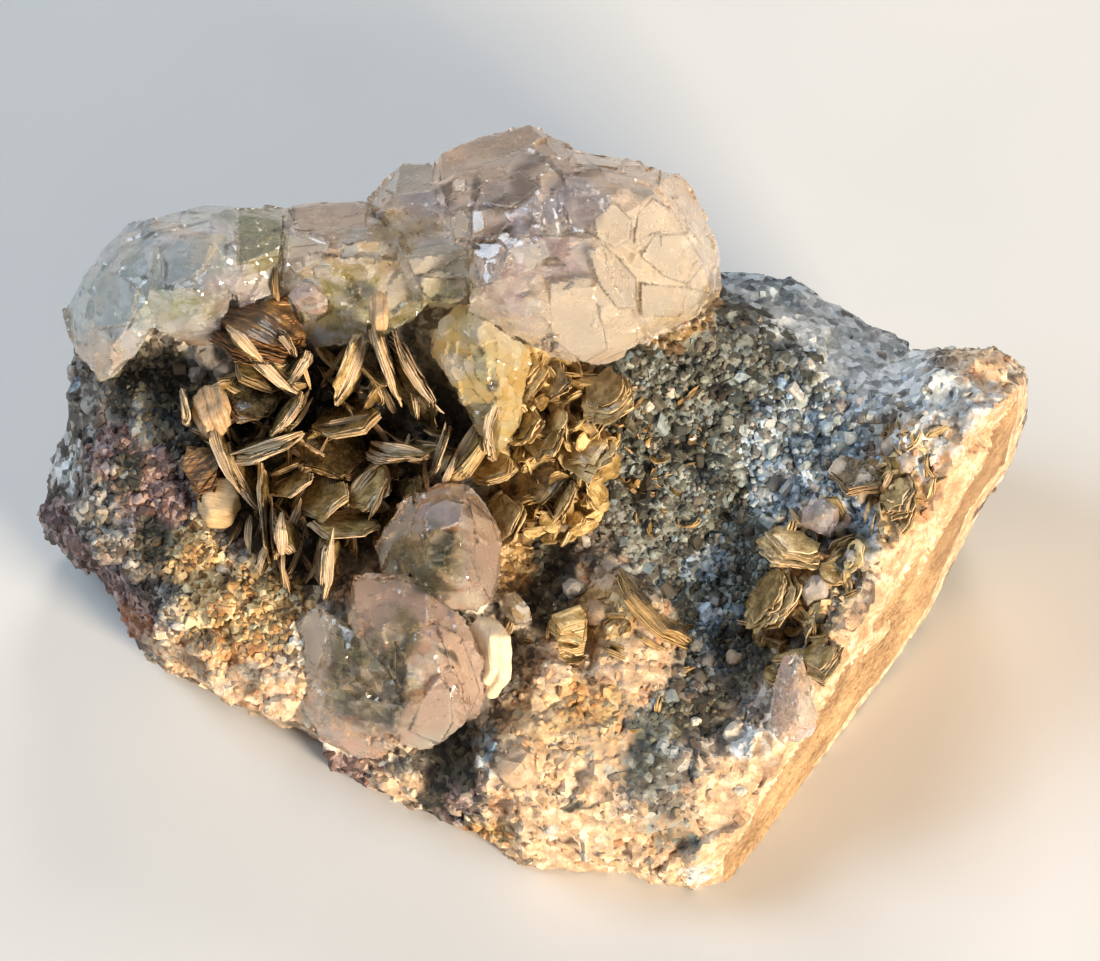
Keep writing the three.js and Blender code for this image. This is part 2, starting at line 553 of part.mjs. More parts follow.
// Mica. Each book is a stack of leaves: its two ends in the picture, then its thickness, its breadth into
// the rock, its turn in degrees from edge on to face on, and how far it stands off the rock
const BOOKS = [
  { ends: [[214, 327], [304, 325]], thickness: 3.0, breadth: 7.5, turn: 32, lift: 6.5 },
  { ends: [[226, 328], [293, 393]], thickness: 1.4, breadth: 8, turn: 8, lift: 6.5 },
  { ends: [[337, 402], [366, 331]], thickness: 1.3, breadth: 8, turn: -12, lift: 7 },
  { ends: [[373, 327], [398, 400]], thickness: 1.0, breadth: 8, turn: 6, lift: 8 },
  { ends: [[389, 338], [432, 430]], thickness: 1.2, breadth: 8, turn: -16, lift: 7 },
  { ends: [[289, 379], [311, 355]], thickness: 1.3, breadth: 5, turn: 12, lift: 7.5 },
  { ends: [[272, 436], [303, 396]], thickness: 1.0, breadth: 7, turn: 10, lift: 7.5 },
  { ends: [[194, 412], [228, 408]], thickness: 2.8, breadth: 4.5, turn: 60, lift: 6 },
  { ends: [[212, 427], [257, 507]], thickness: 1.5, breadth: 8, turn: 10, lift: 6.5 },
  { ends: [[234, 459], [299, 437]], thickness: 1.2, breadth: 8, turn: 14, lift: 7.5 },
  { ends: [[315, 428], [378, 416]], thickness: 1.2, breadth: 7, turn: 22, lift: 7.5 },
  { ends: [[300, 440], [366, 462]], thickness: 1.5, breadth: 8, turn: 42, lift: 5.5 },
  { ends: [[369, 455], [439, 453]], thickness: 1.6, breadth: 8, turn: 10, lift: 6.5 },
  { ends: [[430, 477], [449, 428]], thickness: 0.8, breadth: 7, turn: 8, lift: 6.5 },
  { ends: [[449, 481], [487, 430]], thickness: 1.8, breadth: 7, turn: 14, lift: 6.5 },
  { ends: [[491, 460], [496, 396]], thickness: 1.1, breadth: 7, turn: -8, lift: 7.5 },
  { ends: [[475, 479], [511, 461]], thickness: 1.3, breadth: 6, turn: 28, lift: 6.5 },
  { ends: [[344, 503], [385, 468]], thickness: 1.6, breadth: 8, turn: 34, lift: 6.5 },
  { ends: [[298, 513], [342, 472]], thickness: 1.4, breadth: 8, turn: 36, lift: 5.5 },
  { ends: [[272, 494], [312, 464]], thickness: 1.1, breadth: 7, turn: 26, lift: 5 },
  { ends: [[262, 470], [268, 563]], thickness: 0.9, breadth: 7, turn: 8, lift: 6 },
  { ends: [[284, 522], [290, 552]], thickness: 1.7, breadth: 6, turn: 12, lift: 6.5 },
  { ends: [[311, 524], [378, 526]], thickness: 1.0, breadth: 7, turn: 20, lift: 6 },
  { ends: [[377, 541], [418, 479]], thickness: 1.2, breadth: 8, turn: 24, lift: 6.5 },
  { ends: [[199, 501], [237, 503]], thickness: 3.2, breadth: 4.2, turn: 66, lift: 3.5 },
  { ends: [[183, 463], [220, 459]], thickness: 1.8, breadth: 5, turn: 42, lift: 3.5 },
  { ends: [[333, 536], [326, 597]], thickness: 1.1, breadth: 7, turn: 10, lift: 6 },
  { ends: [[224, 398], [283, 392]], thickness: 1.4, breadth: 7, turn: 46, lift: 5 },
  { ends: [[345, 452], [396, 470]], thickness: 1.1, breadth: 8, turn: 38, lift: 4.5 },
  { ends: [[236, 350], [296, 374]], thickness: 1.5, breadth: 8, turn: 40, lift: 3.5 },
  { ends: [[280, 330], [296, 354]], thickness: 0.8, breadth: 5, turn: 6, lift: 8 },
  { ends: [[368, 312], [391, 309]], thickness: 2.4, breadth: 4, turn: 52, lift: 8 },
  { ends: [[182, 388], [187, 424]], thickness: 0.8, breadth: 5, turn: 4, lift: 6 },
  { ends: [[272, 512], [275, 560]], thickness: 0.8, breadth: 6, turn: -10, lift: 5.5 },
  { ends: [[508, 396], [540, 354]], thickness: 2.0, breadth: 6, turn: 32, lift: 4 },
  { ends: [[536, 392], [566, 368]], thickness: 2.2, breadth: 5, turn: 46, lift: 3.5 },
  { ends: [[586, 414], [630, 382]], thickness: 2.4, breadth: 5.5, turn: 44, lift: 3.5 },
  { ends: [[510, 442], [530, 404]], thickness: 1.4, breadth: 6, turn: 34, lift: 4 },
  { ends: [[536, 458], [558, 412]], thickness: 1.4, breadth: 6, turn: 30, lift: 4 },
  { ends: [[566, 472], [602, 430]], thickness: 2.0, breadth: 6.5, turn: 46, lift: 3.5 },
  { ends: [[512, 502], [548, 448]], thickness: 1.3, breadth: 8, turn: 48, lift: 5 },
  { ends: [[557, 523], [573, 480]], thickness: 1.0, breadth: 6, turn: 12, lift: 5 },
  { ends: [[500, 546], [512, 498]], thickness: 1.8, breadth: 5, turn: 36, lift: 4.5 },
  { ends: [[487, 694], [486, 620]], thickness: 2.4, breadth: 6, turn: 30, lift: 3.5 },
  { ends: [[620, 578], [683, 642]], thickness: 1.8, breadth: 7, turn: 14, lift: 2 },
  { ends: [[549, 622], [586, 618]], thickness: 2.2, breadth: 5, turn: 36, lift: 5 },
  { ends: [[762, 540], [828, 552]], thickness: 2.2, breadth: 6.5, turn: 36, lift: 3 },
  { ends: [[752, 630], [788, 570]], thickness: 2.0, breadth: 6, turn: 28, lift: 3.5 },
  { ends: [[805, 674], [841, 646]], thickness: 2.0, breadth: 5, turn: 36, lift: 1.5 },
  { ends: [[830, 474], [896, 470]], thickness: 1.1, breadth: 6, turn: 42, lift: 1.5 },
  { ends: [[888, 520], [906, 478]], thickness: 2.0, breadth: 5, turn: 34, lift: 1.5 },
];
const THIN_BOOK = 1.9;
const LEAF_SIDES = 6;
const BOOK_RISE = 2;
const BOOK_CORNERS = { length: 1.1, breadth: 1.3 };
const LOWER_LEAF = { share: 0.55, shift: 0, through: -0.22, scale: 1 };
const UPPER_LEAF = { share: 0.5, shift: 0.04, through: 0.25, scale: 0.88 };
const WHOLE_BOOK = { share: 1, shift: 0, through: 0, scale: 1 };
const BOOK_ROOM = { share: 1, shift: 0.01, through: 0, scale: 1.02 };

/** One hexagonal leaf: its share of the book's thickness, and where it lies along and through the book. */
function leaf({ ends, thickness, breadth, turn, lift }, { share, shift, through, scale }, swollen) {
  const [from, to] = ends.map(at);
  const middle = from.clone().add(to).divideScalar(2);
  middle.z = surfaceHeight(middle.x, middle.y) + lift - breadth / 2 + BOOK_RISE;
  const along = to.clone().sub(from);
  const length = along.length();
  along.normalize();
  const across = new THREE.Vector3(-along.y, along.x, 0);
  const facing = new THREE.Vector3(0, 0, 1);
  const tilt = THREE.MathUtils.degToRad(turn);
  const normal = across.clone().multiplyScalar(Math.cos(tilt)).addScaledVector(facing, Math.sin(tilt));
  const wide = new THREE.Vector3().crossVectors(along, normal);
  const shape = new THREE.CylinderGeometry(0.5, 0.5, 1, LEAF_SIDES).rotateY(Math.PI / 2);
  const size = new THREE.Vector3(
    length * scale * BOOK_CORNERS.length + 2 * swollen,
    thickness * share + 2 * swollen,
    breadth * scale * BOOK_CORNERS.breadth + 2 * swollen,
  );
  const place = middle
    .clone()
    .addScaledVector(normal, through * thickness)
    .addScaledVector(along, shift * length);
  return solidFrom(shape, new THREE.Matrix4().makeBasis(along, normal, wide).scale(size).setPosition(place));
}

/** One book: a single leaf where it is thin, or else two, the upper set a little off the lower. */
function mica(book) {
  if (book.thickness < THIN_BOOK) return leaf(book, WHOLE_BOOK, 0);
  return leaf(book, LOWER_LEAF, 0).add(leaf(book, UPPER_LEAF, 0));
}

/** The room that a book takes up, with the gap that its neighbours keep. */
function micaRoom(book) {
  return leaf(book, BOOK_ROOM, CONTACT_GAP);
}

const MATERIALS = {
  rock: new THREE.MeshStandardMaterial({ color: 0xb9ab95, roughness: 0.85, metalness: 0 }),
  fluorite: new THREE.MeshStandardMaterial({ color: 0xcfd2c4, roughness: 0.25, metalness: 0 }),
  honey: new THREE.MeshStandardMaterial({ color: 0xc9b98a, roughness: 0.3, metalness: 0 }),
  lilac: new THREE.MeshStandardMaterial({ color: 0xc3b7c0, roughness: 0.3, metalness: 0 }),
  mica: new THREE.MeshStandardMaterial({ color: 0x8a6a38, roughness: 0.4, metalness: 0.1 }),
};

const face = new THREE.Group();
face.rotation.x = FACE_TIP;
face.position.set(-BLOCK_CENTRE.x, -BLOCK_CENTRE.y, BASE_LIFT);

function addPiece(name, solid, material) {
  const mesh = new THREE.Mesh(geometryFrom(solid), material);
  mesh.name = name;
  face.add(mesh);
}

addPiece("rock", largestBody(broken(rockBody())), MATERIALS.rock);
let occupied = rockBody(CONTACT_GAP);

const CRYSTAL_GROUPS = {
  fluorite_back: [[...LEFT_CRYSTALS, ...MIDDLE_CRYSTALS, ...LARGE_CRYSTALS], MATERIALS.fluorite],
  fluorite_front: [FRONT_CRYSTALS, MATERIALS.fluorite],
  fluorite_honey: [HONEY_CRYSTALS, MATERIALS.honey],
  fluorite_lilac: [LILAC_CRYSTALS, MATERIALS.lilac],
  fluorite_purple: [PURPLE_CRYSTALS, MATERIALS.lilac],
  fluorite_pale: [PALE_CRYSTALS, MATERIALS.lilac],
  fluorite_cube: [CUBE_CRYSTALS, MATERIALS.honey],
};
for (const [name, [crystals, material]] of Object.entries(CRYSTAL_GROUPS)) {
  addPiece(name, largestBody(crystalGroup(crystals).subtract(occupied)), material);
  occupied = occupied.add(crystalGroup(crystals, CONTACT_GAP));
}

BOOKS.forEach((book, i) => {
  const name = "mica_book_" + String(i + 1).padStart(2, "0");
  addPiece(name, largestBody(mica(book).subtract(occupied)), MATERIALS.mica);
  occupied = occupied.add(micaRoom(book));
});

export default face;
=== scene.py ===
"""Looks of a cabinet specimen: clear fluorite and golden brown mica on feldspar rock.

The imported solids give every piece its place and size. Here the rock gets its broken surface and its
crust of small grains, the crystals get their relief and clear material, and each mica solid becomes a
book of thin leaves. Lengths in names and fields are millimetres unless a line says otherwise.
"""

import json
import logging
import math
import random
from dataclasses import dataclass, field, replace
from enum import Enum
from typing import Callable, Iterable

import bmesh
import bpy
import numpy as np
from mathutils import Matrix, Vector, noise
from mathutils.bvhtree import BVHTree

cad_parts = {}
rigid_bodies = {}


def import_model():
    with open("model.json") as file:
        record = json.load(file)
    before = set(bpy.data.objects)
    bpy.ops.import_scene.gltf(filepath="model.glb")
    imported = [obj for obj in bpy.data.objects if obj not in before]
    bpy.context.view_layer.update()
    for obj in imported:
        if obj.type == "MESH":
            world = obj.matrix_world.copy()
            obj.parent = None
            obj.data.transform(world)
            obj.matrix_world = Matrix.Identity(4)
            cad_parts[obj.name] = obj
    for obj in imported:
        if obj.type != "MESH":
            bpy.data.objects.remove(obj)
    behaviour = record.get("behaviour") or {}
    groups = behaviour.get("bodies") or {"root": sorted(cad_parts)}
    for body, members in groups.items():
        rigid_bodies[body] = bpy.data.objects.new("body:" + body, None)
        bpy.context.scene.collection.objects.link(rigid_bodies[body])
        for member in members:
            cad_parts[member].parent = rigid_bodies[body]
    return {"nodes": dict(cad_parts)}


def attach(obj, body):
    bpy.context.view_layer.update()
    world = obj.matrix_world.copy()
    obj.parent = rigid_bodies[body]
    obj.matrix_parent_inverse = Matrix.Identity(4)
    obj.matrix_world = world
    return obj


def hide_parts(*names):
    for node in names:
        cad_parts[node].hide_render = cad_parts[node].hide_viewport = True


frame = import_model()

log = logging.getLogger("specimen")

MM = 0.001
BODY = "root"
WELD = 1e-7
NOISE_SEED = 1
RIMS = ("rim_a", "rim_b", "rim_c")
RAY_START = 60
FLUORITE_IOR = 1.434
THIRDS = (0.0, 0.5, 1.0)

Span = tuple[float, float]
Colour = tuple[float, float, float]
Tones = tuple[Colour, Colour, Colour]
Stops = tuple[tuple[float, Colour], ...]
Array = np.ndarray
Form = bmesh.types.BMesh
Mesh = bpy.types.Mesh
Piece = bpy.types.Object
Material = bpy.types.Material
Node = bpy.types.Node
Socket = bpy.types.NodeSocket


class Slot(Enum):
    """The record's material slots."""

    ROCK = "rock"
    CLEAR = "clear_fluorite"
    HONEY = "honey_fluorite"
    LILAC = "lilac_fluorite"
    MICA = "mica"


class Mineral(Enum):
    """What a patch is made of, or the painted shade or light it carries. The value is the name of its mesh attribute.
    """

    CREAM = "cream"
    CRUST = "crust"
    GOLD = "gold"
    RUST = "rust"
    # Dark mica, and painted shade in the nest's hollow, under the crystals and in other pockets.
    DARK = "dark"
    OPEN = "open"
    COVER = "cover"
    BLUSH = "blush"
    FROST = "frost"
    MOSS = "moss"
    SMOKE = "smoke"
    SKY = "sky"
    GRAVEL = "gravel"
    GRAINS = "grains"
    PLAIN = "plain"
    STAIN = "stain"
    # Pale quartz under the crystals, painted paler still as painted light that the crystals seem lit by.
    BED = "bed"
    PEARL = "pearl"


CRYSTAL_TINTS = (
    Mineral.SKY, Mineral.BLUSH, Mineral.PEARL, Mineral.MOSS, Mineral.GOLD, Mineral.SMOKE, Mineral.FROST
)


# Places in the picture


@dataclass(frozen=True)
class DisplayFace:
    """The display face of the specimen: how a place in the picture lies on the standing block."""

    pixels_per_mm: float = 1018 / 110
    middle_x: float = 537
    bottom_y: float = 898
    tip: float = math.radians(35)
    centre: Span = (0.3, -35.4)
    lift: float = 5

    def flat(self, x: float, y: float) -> Span:
        """Millimetres right and up the face of picture pixel (x, y)."""
        return (x - self.middle_x) / self.pixels_per_mm, (self.bottom_y - y) / self.pixels_per_mm

    def point(self, right: float, up: float, out: float) -> Vector:
        """A point of the standing block, in metres, from its place on the face.

        Args:
            right: Millimetres right of the face's middle.
            up: Millimetres up the face.
            out: Millimetres towards the viewer.

        Returns:
            The point.
        """
        across = up * math.cos(self.tip) - out * math.sin(self.tip) + self.centre[1]
        height = up * math.sin(self.tip) + out * math.cos(self.tip) + self.lift
        return Vector((right + self.centre[0], across, height)) * MM

    def at(self, x: float, y: float, out: float = 0) -> Vector:
        """The point seen at picture pixel (x, y) that stands out by a distance."""
        return self.point(*self.flat(x, y), out)

    def direction(self, right: float, up: float, out: float) -> Vector:
        """A direction on the face, as a unit vector of the standing block."""
        return (self.point(right, up, out) - self.point(0, 0, 0)).normalized()

    def unrolled(self, points: Array) -> Array:
        """Places on the face (right, up, out) of points given in metres.

        Args:
            points: An array of points, one a row.

        Returns:
            An array of the same shape, in millimetres.
        """
        right = points[:, 0] / MM - self.centre[0]
        across = points[:, 1] / MM - self.centre[1]
        height = points[:, 2] / MM - self.lift
        up = across * math.cos(self.tip) + height * math.sin(self.tip)
        out = height * math.cos(self.tip) - across * math.sin(self.tip)
        return np.stack([right, up, out], axis=1)


FACE = DisplayFace()
OUTWARD = FACE.direction(0, 0, 1)


@dataclass(frozen=True)
class Patch:
    """An oval patch of the face, centred at a picture pixel.

    Attributes:
        x: Picture column of the centre.
        y: Picture row of the centre.
        reach: Half sizes right and up, before the turn.
        turn: Turn in degrees, counterclockwise.
        most: Share of the surface that it covers at its centre.
    """

    x: float
    y: float
    reach: Span
    turn: float = 0
    most: float = 1

    def weight(self, places: Array) -> Array:
        """How much of the patch each place has, from 0 outside to 1 at the centre.

        Args:
            places: Places on the display face, one a row.

        Returns:
            One share for each place.
        """
        right, up = FACE.flat(self.x, self.y)
        angle = math.radians(self.turn)
        along = (places[:, 0] - right) * math.cos(angle) + (places[:, 1] - up) * math.sin(angle)
        across = (places[:, 1] - up) * math.cos(angle) - (places[:, 0] - right) * math.sin(angle)
        distance = np.sqrt((along / self.reach[0]) ** 2 + (across / self.reach[1]) ** 2)
        return np.clip(1.5 - distance, 0, 1) * self.most


Tints = dict[Mineral, tuple[Patch, ...]]


def painted(**shown: tuple[tuple[float, ...], ...]) -> Tints:
    """Patches by the name of their mineral.

    Args:
        shown: Rows of picture column and row and half sizes right and up, and then turn and most if needed.

    Returns:
        The patches of each mineral.
    """
    return {
        Mineral(name): tuple(Patch(x, y, (right, up), *rest) for x, y, right, up, *rest in rows)
        for name, rows in shown.items()
    }


def coverage(shown: Iterable[Patch], places: Array) -> Array:
    """How much each place has of any of the patches.

    Args:
        shown: The patches.
        places: Places on the display face, one a row.

    Returns:
        One share for each place, from 0 to 1.
    """
    bare = np.ones(len(places))
    for patch in shown:
        bare *= 1 - patch.weight(places)
    return 1 - bare


# Mesh work


def shape_of(mesh: Mesh) -> tuple[Array, Array]:
    """The vertices and their normals.

    Args:
        mesh: The mesh to read.

    Returns:
        The points in metres and the unit vectors, one a row.
    """
    points, normals = np.empty((2, len(mesh.vertices) * 3))
    mesh.vertices.foreach_get("co", points)
    mesh.vertex_normals.foreach_get("vector", normals)
    return points.reshape(-1, 3), normals.reshape(-1, 3)


def move(mesh: Mesh, points: Array) -> None:
    """Moves the mesh's vertices to points in metres."""
    mesh.vertices.foreach_set("co", points.ravel())
    mesh.update()


def swells(points: Array, size: float, sample: Callable = noise.noise) -> Array:
    """Soft noise at points in metres, with features of a size in millimetres."""
    return np.array([sample(Vector(row) / (size * MM)) for row in points])


def store(mesh: Mesh, name: str, values: Array) -> None:
    """Keeps one number for each vertex under a name that materials and scatters read."""
    mesh.attributes.new(name, "FLOAT", "POINT").data.foreach_set("value", values.astype(np.float32))


def merged_copy(node: str) -> Form:
    """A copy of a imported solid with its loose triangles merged.

    Args:
        node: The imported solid's name.

    Returns:
        The copy, which the caller frees.
    """
    form = bmesh.new()
    form.from_mesh(frame["nodes"][node].data)
    bmesh.ops.remove_doubles(form, verts=form.verts, dist=WELD * 10)
    return form


def absorb(whole: Form, part: Form) -> list[bmesh.types.BMVert]:
    """Moves a form into a larger one and gives back its vertices there.

    Args:
        whole: The form that grows.
        part: The form that moves into it and is freed.

    Returns:
        The vertices that the part has in the whole.
    """
    scratch = bpy.data.meshes.new("part")
    part.to_mesh(scratch)
    part.free()
    first = len(whole.verts)
    whole.from_mesh(scratch)
    bpy.data.meshes.remove(scratch)
    whole.verts.ensure_lookup_table()
    return whole.verts[first:]


def new_object(name: str, form: Form) -> Piece:
    """Turns a form into an object of the scene and frees it.

    Args:
        name: The object's name.
        form: Its shape, which is freed.

    Returns:
        The object, linked to the scene.
    """
    mesh = bpy.data.meshes.new(name)
    form.to_mesh(mesh)
    form.free()
    made = bpy.data.objects.new(name, mesh)
    bpy.context.scene.collection.objects.link(made)
    return made


def bake(piece: Piece) -> None:
    """Makes the piece's modifiers part of its mesh.

    Args:
        piece: The object whose mesh is replaced.
    """
    bpy.context.view_layer.update()
    graph = bpy.context.evaluated_depsgraph_get()
    mesh = bpy.data.meshes.new_from_object(piece.evaluated_get(graph))
    piece.modifiers.clear()
    old = piece.data
    piece.data = mesh
    mesh.name = piece.name
    bpy.data.meshes.remove(old)


def remeshed(node: str, name: str, voxel: float, smoothing: int) -> Piece:
    """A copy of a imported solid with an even, fine mesh.

    Args:
        node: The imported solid.
        name: The new object's name.
        voxel: Size of a mesh cell in millimetres.
        smoothing: How often the new mesh is smoothed.

    Returns:
        The new object.
    """
    piece = new_object(name, merged_copy(node))
    remesh = piece.modifiers.new("even", "REMESH")
    remesh.mode = "VOXEL"
    remesh.voxel_size = voxel * MM
    if smoothing:
        smooth = piece.modifiers.new("soft", "SMOOTH")
        smooth.factor = 0.5
        smooth.iterations = smoothing
    bake(piece)
    return piece


def shade(mesh: Mesh, sharp_angle: float) -> None:
    """Shades the mesh smooth, apart from edges sharper than an angle in degrees."""
    mesh.shade_smooth()
    mesh.set_sharp_from_angle(angle=math.radians(sharp_angle))


def settle(piece: Piece, slot: Slot, *nodes: str) -> None:
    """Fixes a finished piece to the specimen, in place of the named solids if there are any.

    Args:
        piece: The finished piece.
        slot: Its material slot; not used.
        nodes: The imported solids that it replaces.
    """
    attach(piece, BODY)
    if nodes:
        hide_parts(*nodes)
    log.info("%s: %d faces", piece.name, len(piece.data.polygons))


@dataclass(frozen=True)
class Cleavage:
    """Flat faces that a crystal's surface is cut into."""

    size: float
    lean: float
    step: float
    limit: float
    seed: int
    tries: int = 6000
    fewest: int = 12

    def cells(self, places: Array, chance: np.random.Generator) -> Array:
        """The number of the face that each place belongs to.

        Args:
            places: Points and normals, scaled so that a face is one unit wide.
            chance: Draws the middles of the faces.

        Returns:
            One number for each place.
        """
        kept = places[:1]
        for place in places[chance.permutation(len(places))[: self.tries]]:
            if np.linalg.norm(kept - place, axis=1).min() > 1:
                kept = np.vstack([kept, place])
        cells = np.zeros(len(places), int)
        nearest = np.full(len(places), np.inf)
        for number, middle in enumerate(kept):
            distance = np.linalg.norm(places - middle, axis=1)
            closer = distance < nearest
            cells[closer] = number
            nearest[closer] = distance[closer]
        return cells

    def cut(self, points: Array, normals: Array) -> tuple[Array, Array]:
        """Flattens each cell of a surface.

        Args:
            points: The vertices in metres.
            normals: Their normals.

        Returns:
            The moved vertices, and a number from 0 to 1 that is the same all over each face.
        """
        chance = np.random.default_rng(self.seed)
        cells = self.cells(np.hstack([points / (self.size * MM), normals * 0.9]), chance)
        moved = points.copy()
        tones = np.zeros(len(points))
        for number in range(cells.max() + 1):
            rows = np.nonzero(cells == number)[0]
            leans = chance.uniform(-1, 1, 3) * self.lean
            step, tones[rows] = chance.uniform(-1, 1) * self.step, chance.uniform()
            if len(rows) < self.fewest:
                continue
            middle = points[rows].mean(axis=0)
            outward = normals[rows].mean(axis=0)
            outward = outward / np.linalg.norm(outward) + leans
            outward /= np.linalg.norm(outward)
            lift = (middle - points[rows]) @ outward / MM + step
            agree = normals[rows] @ outward
            travel = np.clip(lift / np.clip(agree, 0.4, 1), -self.limit, self.limit)
            travel *= np.clip((agree - 0.62) * 5, 0, 1)
            moved[rows] += normals[rows] * travel[:, None] * MM
        return moved, tones


@dataclass(frozen=True)
class Facets:
    """Flat facets that break a surface up: each cell tips and steps its own way."""

    size: float
    lean: float
    step: float
    seed: float

    def height(self, point: Vector) -> float:
        """How far the facet at a point in metres stands out, in millimetres.

        Args:
            point: The point in metres.

        Returns:
            The height in millimetres, negative for a hollow.
        """
        place = point / (self.size * MM) + Vector((self.seed, self.seed * 2, self.seed * 3))
        cell = noise.voronoi(place)[1][0]
        chance = noise.cell_vector(cell * 31.7) * 2 - Vector((1, 1, 1))
        return self.lean * self.size * (place - cell).dot(chance) + self.step * chance.x


# Node trees


class Graph:
    """A node tree that is built by short calls."""

    def __init__(self, tree: bpy.types.NodeTree) -> None:
        """Starts from an existing tree."""
        self.tree = tree

    def node(self, kind: str, inputs: dict | None = None, **settings: object) -> Node:
        """Adds a node.

        Args:
            kind: The node's type name.
            inputs: A value, or a socket to link from, for each input by name or number.
            settings: Properties of the node.

        Returns:
            The new node.
        """
        made = self.tree.nodes.new(kind)
        for name, value in settings.items():
            setattr(made, name, value)
        for key, value in (inputs or {}).items():
            if isinstance(value, Socket):
                self.tree.links.new(value, made.inputs[key])
            else:
                made.inputs[key].default_value = value
        return made


class Surface(Graph):
    """A material's node tree, with its patterns in millimetres on the object."""

    def __init__(self, name: str) -> None:
        """Starts an empty material.

        Args:
            name: The material's name.
        """
        self.material = bpy.data.materials.new(name)
        self.material.use_nodes = True
        super().__init__(self.material.node_tree)
        self.tree.nodes.clear()

    def place(self, turn: tuple = (0, 0, 0), stretch: tuple = (1, 1, 1)) -> Socket:
        """Object coordinates in millimetres, turned and then stretched.

        Args:
            turn: Euler turn in radians.
            stretch: How far the pattern is drawn out along each axis.

        Returns:
            The coordinates.
        """
        source = self.node("ShaderNodeTexCoord").outputs["Object"]
        scale = tuple(1 / (MM * share) for share in stretch)
        inputs = {"Vector": source, "Rotation": turn, "Scale": scale}
        return self.node("ShaderNodeMapping", inputs, vector_type="POINT").outputs["Vector"]

    def noise(self, place: Socket, size: float, detail: float = 4, rough: float = 0.55) -> Socket:
        """Soft noise from 0 to 1 with features of a size."""
        inputs = {"Vector": place, "Scale": 1 / size, "Detail": detail, "Roughness": rough}
        return self.node("ShaderNodeTexNoise", inputs).outputs["Fac"]

    def cells(self, place: Socket, size: float, metric: str = "EUCLIDEAN") -> Node:
        """Cells of a size, with their distance and a colour that is different in each."""
        inputs = {"Vector": place, "Scale": 1 / size}
        return self.node("ShaderNodeTexVoronoi", inputs, distance=metric)

    def value(self, attribute: str) -> Socket:
        """A number that the mesh carries."""
        return self.node("ShaderNodeAttribute", attribute_name=attribute).outputs["Fac"]

    def math(self, operation: str, first: object, second: object = 0.0) -> Socket:
        """One sum on two numbers."""
        inputs = {0: first, 1: second}
        return self.node("ShaderNodeMath", inputs, operation=operation).outputs[0]

    def times(self, first: object, second: object) -> Socket:
        """The product of two numbers."""
        return self.math("MULTIPLY", first, second)

    def fit(self, value: Socket, low: float, high: float, to: Span = (0, 1)) -> Socket:
        """A number's range brought to another range, and held there."""
        inputs = {"Value": value, "From Min": low, "From Max": high, "To Min": to[0], "To Max": to[1]}
        return self.node("ShaderNodeMapRange", inputs).outputs[0]

    @staticmethod
    def tuple_of(colour: Colour, share: float) -> Colour:
        """A darker tone of a colour."""
        return tuple(value * share for value in colour)

    def blend(self, share: object, first: object, second: object, mode: str = "MIX") -> Socket:
        """Two colours blended by a share.

        Args:
            share: How much of the second there is.
            first: A colour or a socket.
            second: A colour or a socket.
            mode: The blend type.

        Returns:
            The blended colour.
        """
        rgb = [value if isinstance(value, Socket) else (*value, 1) for value in (first, second)]
        inputs = {0: share, 6: rgb[0], 7: rgb[1]}
        return self.node("ShaderNodeMix", inputs, data_type="RGBA", blend_type=mode).outputs[2]

    def ramp(self, share: Socket, stops: Iterable[tuple[float, Colour]]) -> Socket:
        """A row of colours picked by a number.

        Args:
            share: Picks the place in the row, from 0 to 1.
            stops: Places in the row and their colours.

        Returns:
            The picked colour.
        """
        made = self.node("ShaderNodeValToRGB", {"Fac": share})
        elements = made.color_ramp.elements
        for index, (position, colour) in enumerate(stops):
            element = elements[index] if index < len(elements) else elements.new(position)
            element.position = position
            element.color = (*colour, 1)
        return made.outputs["Color"]

    def facets(self, place: Socket, size: float) -> tuple[Socket, Socket, Socket]:
        """Small flat facets that lean their own ways, angular as a cubic crystal's are.

        Args:
            place: Coordinates in millimetres.
            size: Width of a facet.

        Returns:
            The facets' height in millimetres, and two numbers that are different on each.
        """
        cells = self.cells(place, size, "CHEBYCHEV")
        arm = self.node("ShaderNodeVectorMath", {0: place, 1: cells.outputs["Position"]}, operation="SUBTRACT")
        lean = self.node("ShaderNodeVectorMath", {0: cells.outputs["Color"], 1: (0.5,) * 3}, operation="SUBTRACT")
        both = {0: arm.outputs[0], 1: lean.outputs[0]}
        height = self.node("ShaderNodeVectorMath", both, operation="DOT_PRODUCT").outputs["Value"]
        drawn = self.node("ShaderNodeSeparateColor", {0: cells.outputs["Color"]}).outputs
        return height, drawn[0], drawn[1]

    def bump(self, height: Socket, depth: float, under: Socket | None = None, strength: object = 1.0) -> Socket:
        """A relief in the shading, its depth in millimetres.

        Args:
            height: The relief's height.
            depth: Millimetres for a height of one.
            under: The normal of a relief below it.
            strength: Share of the relief that shows.

        Returns:
            The bumped normal.
        """
        inputs = {"Height": height, "Distance": depth * MM, "Strength": strength}
        if under is not None:
            inputs["Normal"] = under
        return self.node("ShaderNodeBump", inputs).outputs["Normal"]

    def border(self, attribute: str, ragged: Socket, width: float = 0.12) -> Socket:
        """Where a mineral lies, with a border that a pattern makes ragged."""
        uneven = self.math("ADD", self.value(attribute), self.math("SUBTRACT", ragged, 0.5))
        return self.fit(uneven, 0.5 - width, 0.5 + width)

    def finish(self, inputs: dict, volume: Node | None = None) -> Material:
        """Ends the material in one principled shader and gives it back.

        Args:
            inputs: The shader's inputs.
            volume: A shader for the inside, if it has one.

        Returns:
            The finished material.
        """
        shader = self.node("ShaderNodeBsdfPrincipled", inputs)
        output = self.node("ShaderNodeOutputMaterial", {"Surface": shader.outputs[0]})
        if volume is not None:
            self.tree.links.new(volume.outputs["Volume"], output.inputs["Volume"])
        return self.material


# Finishes


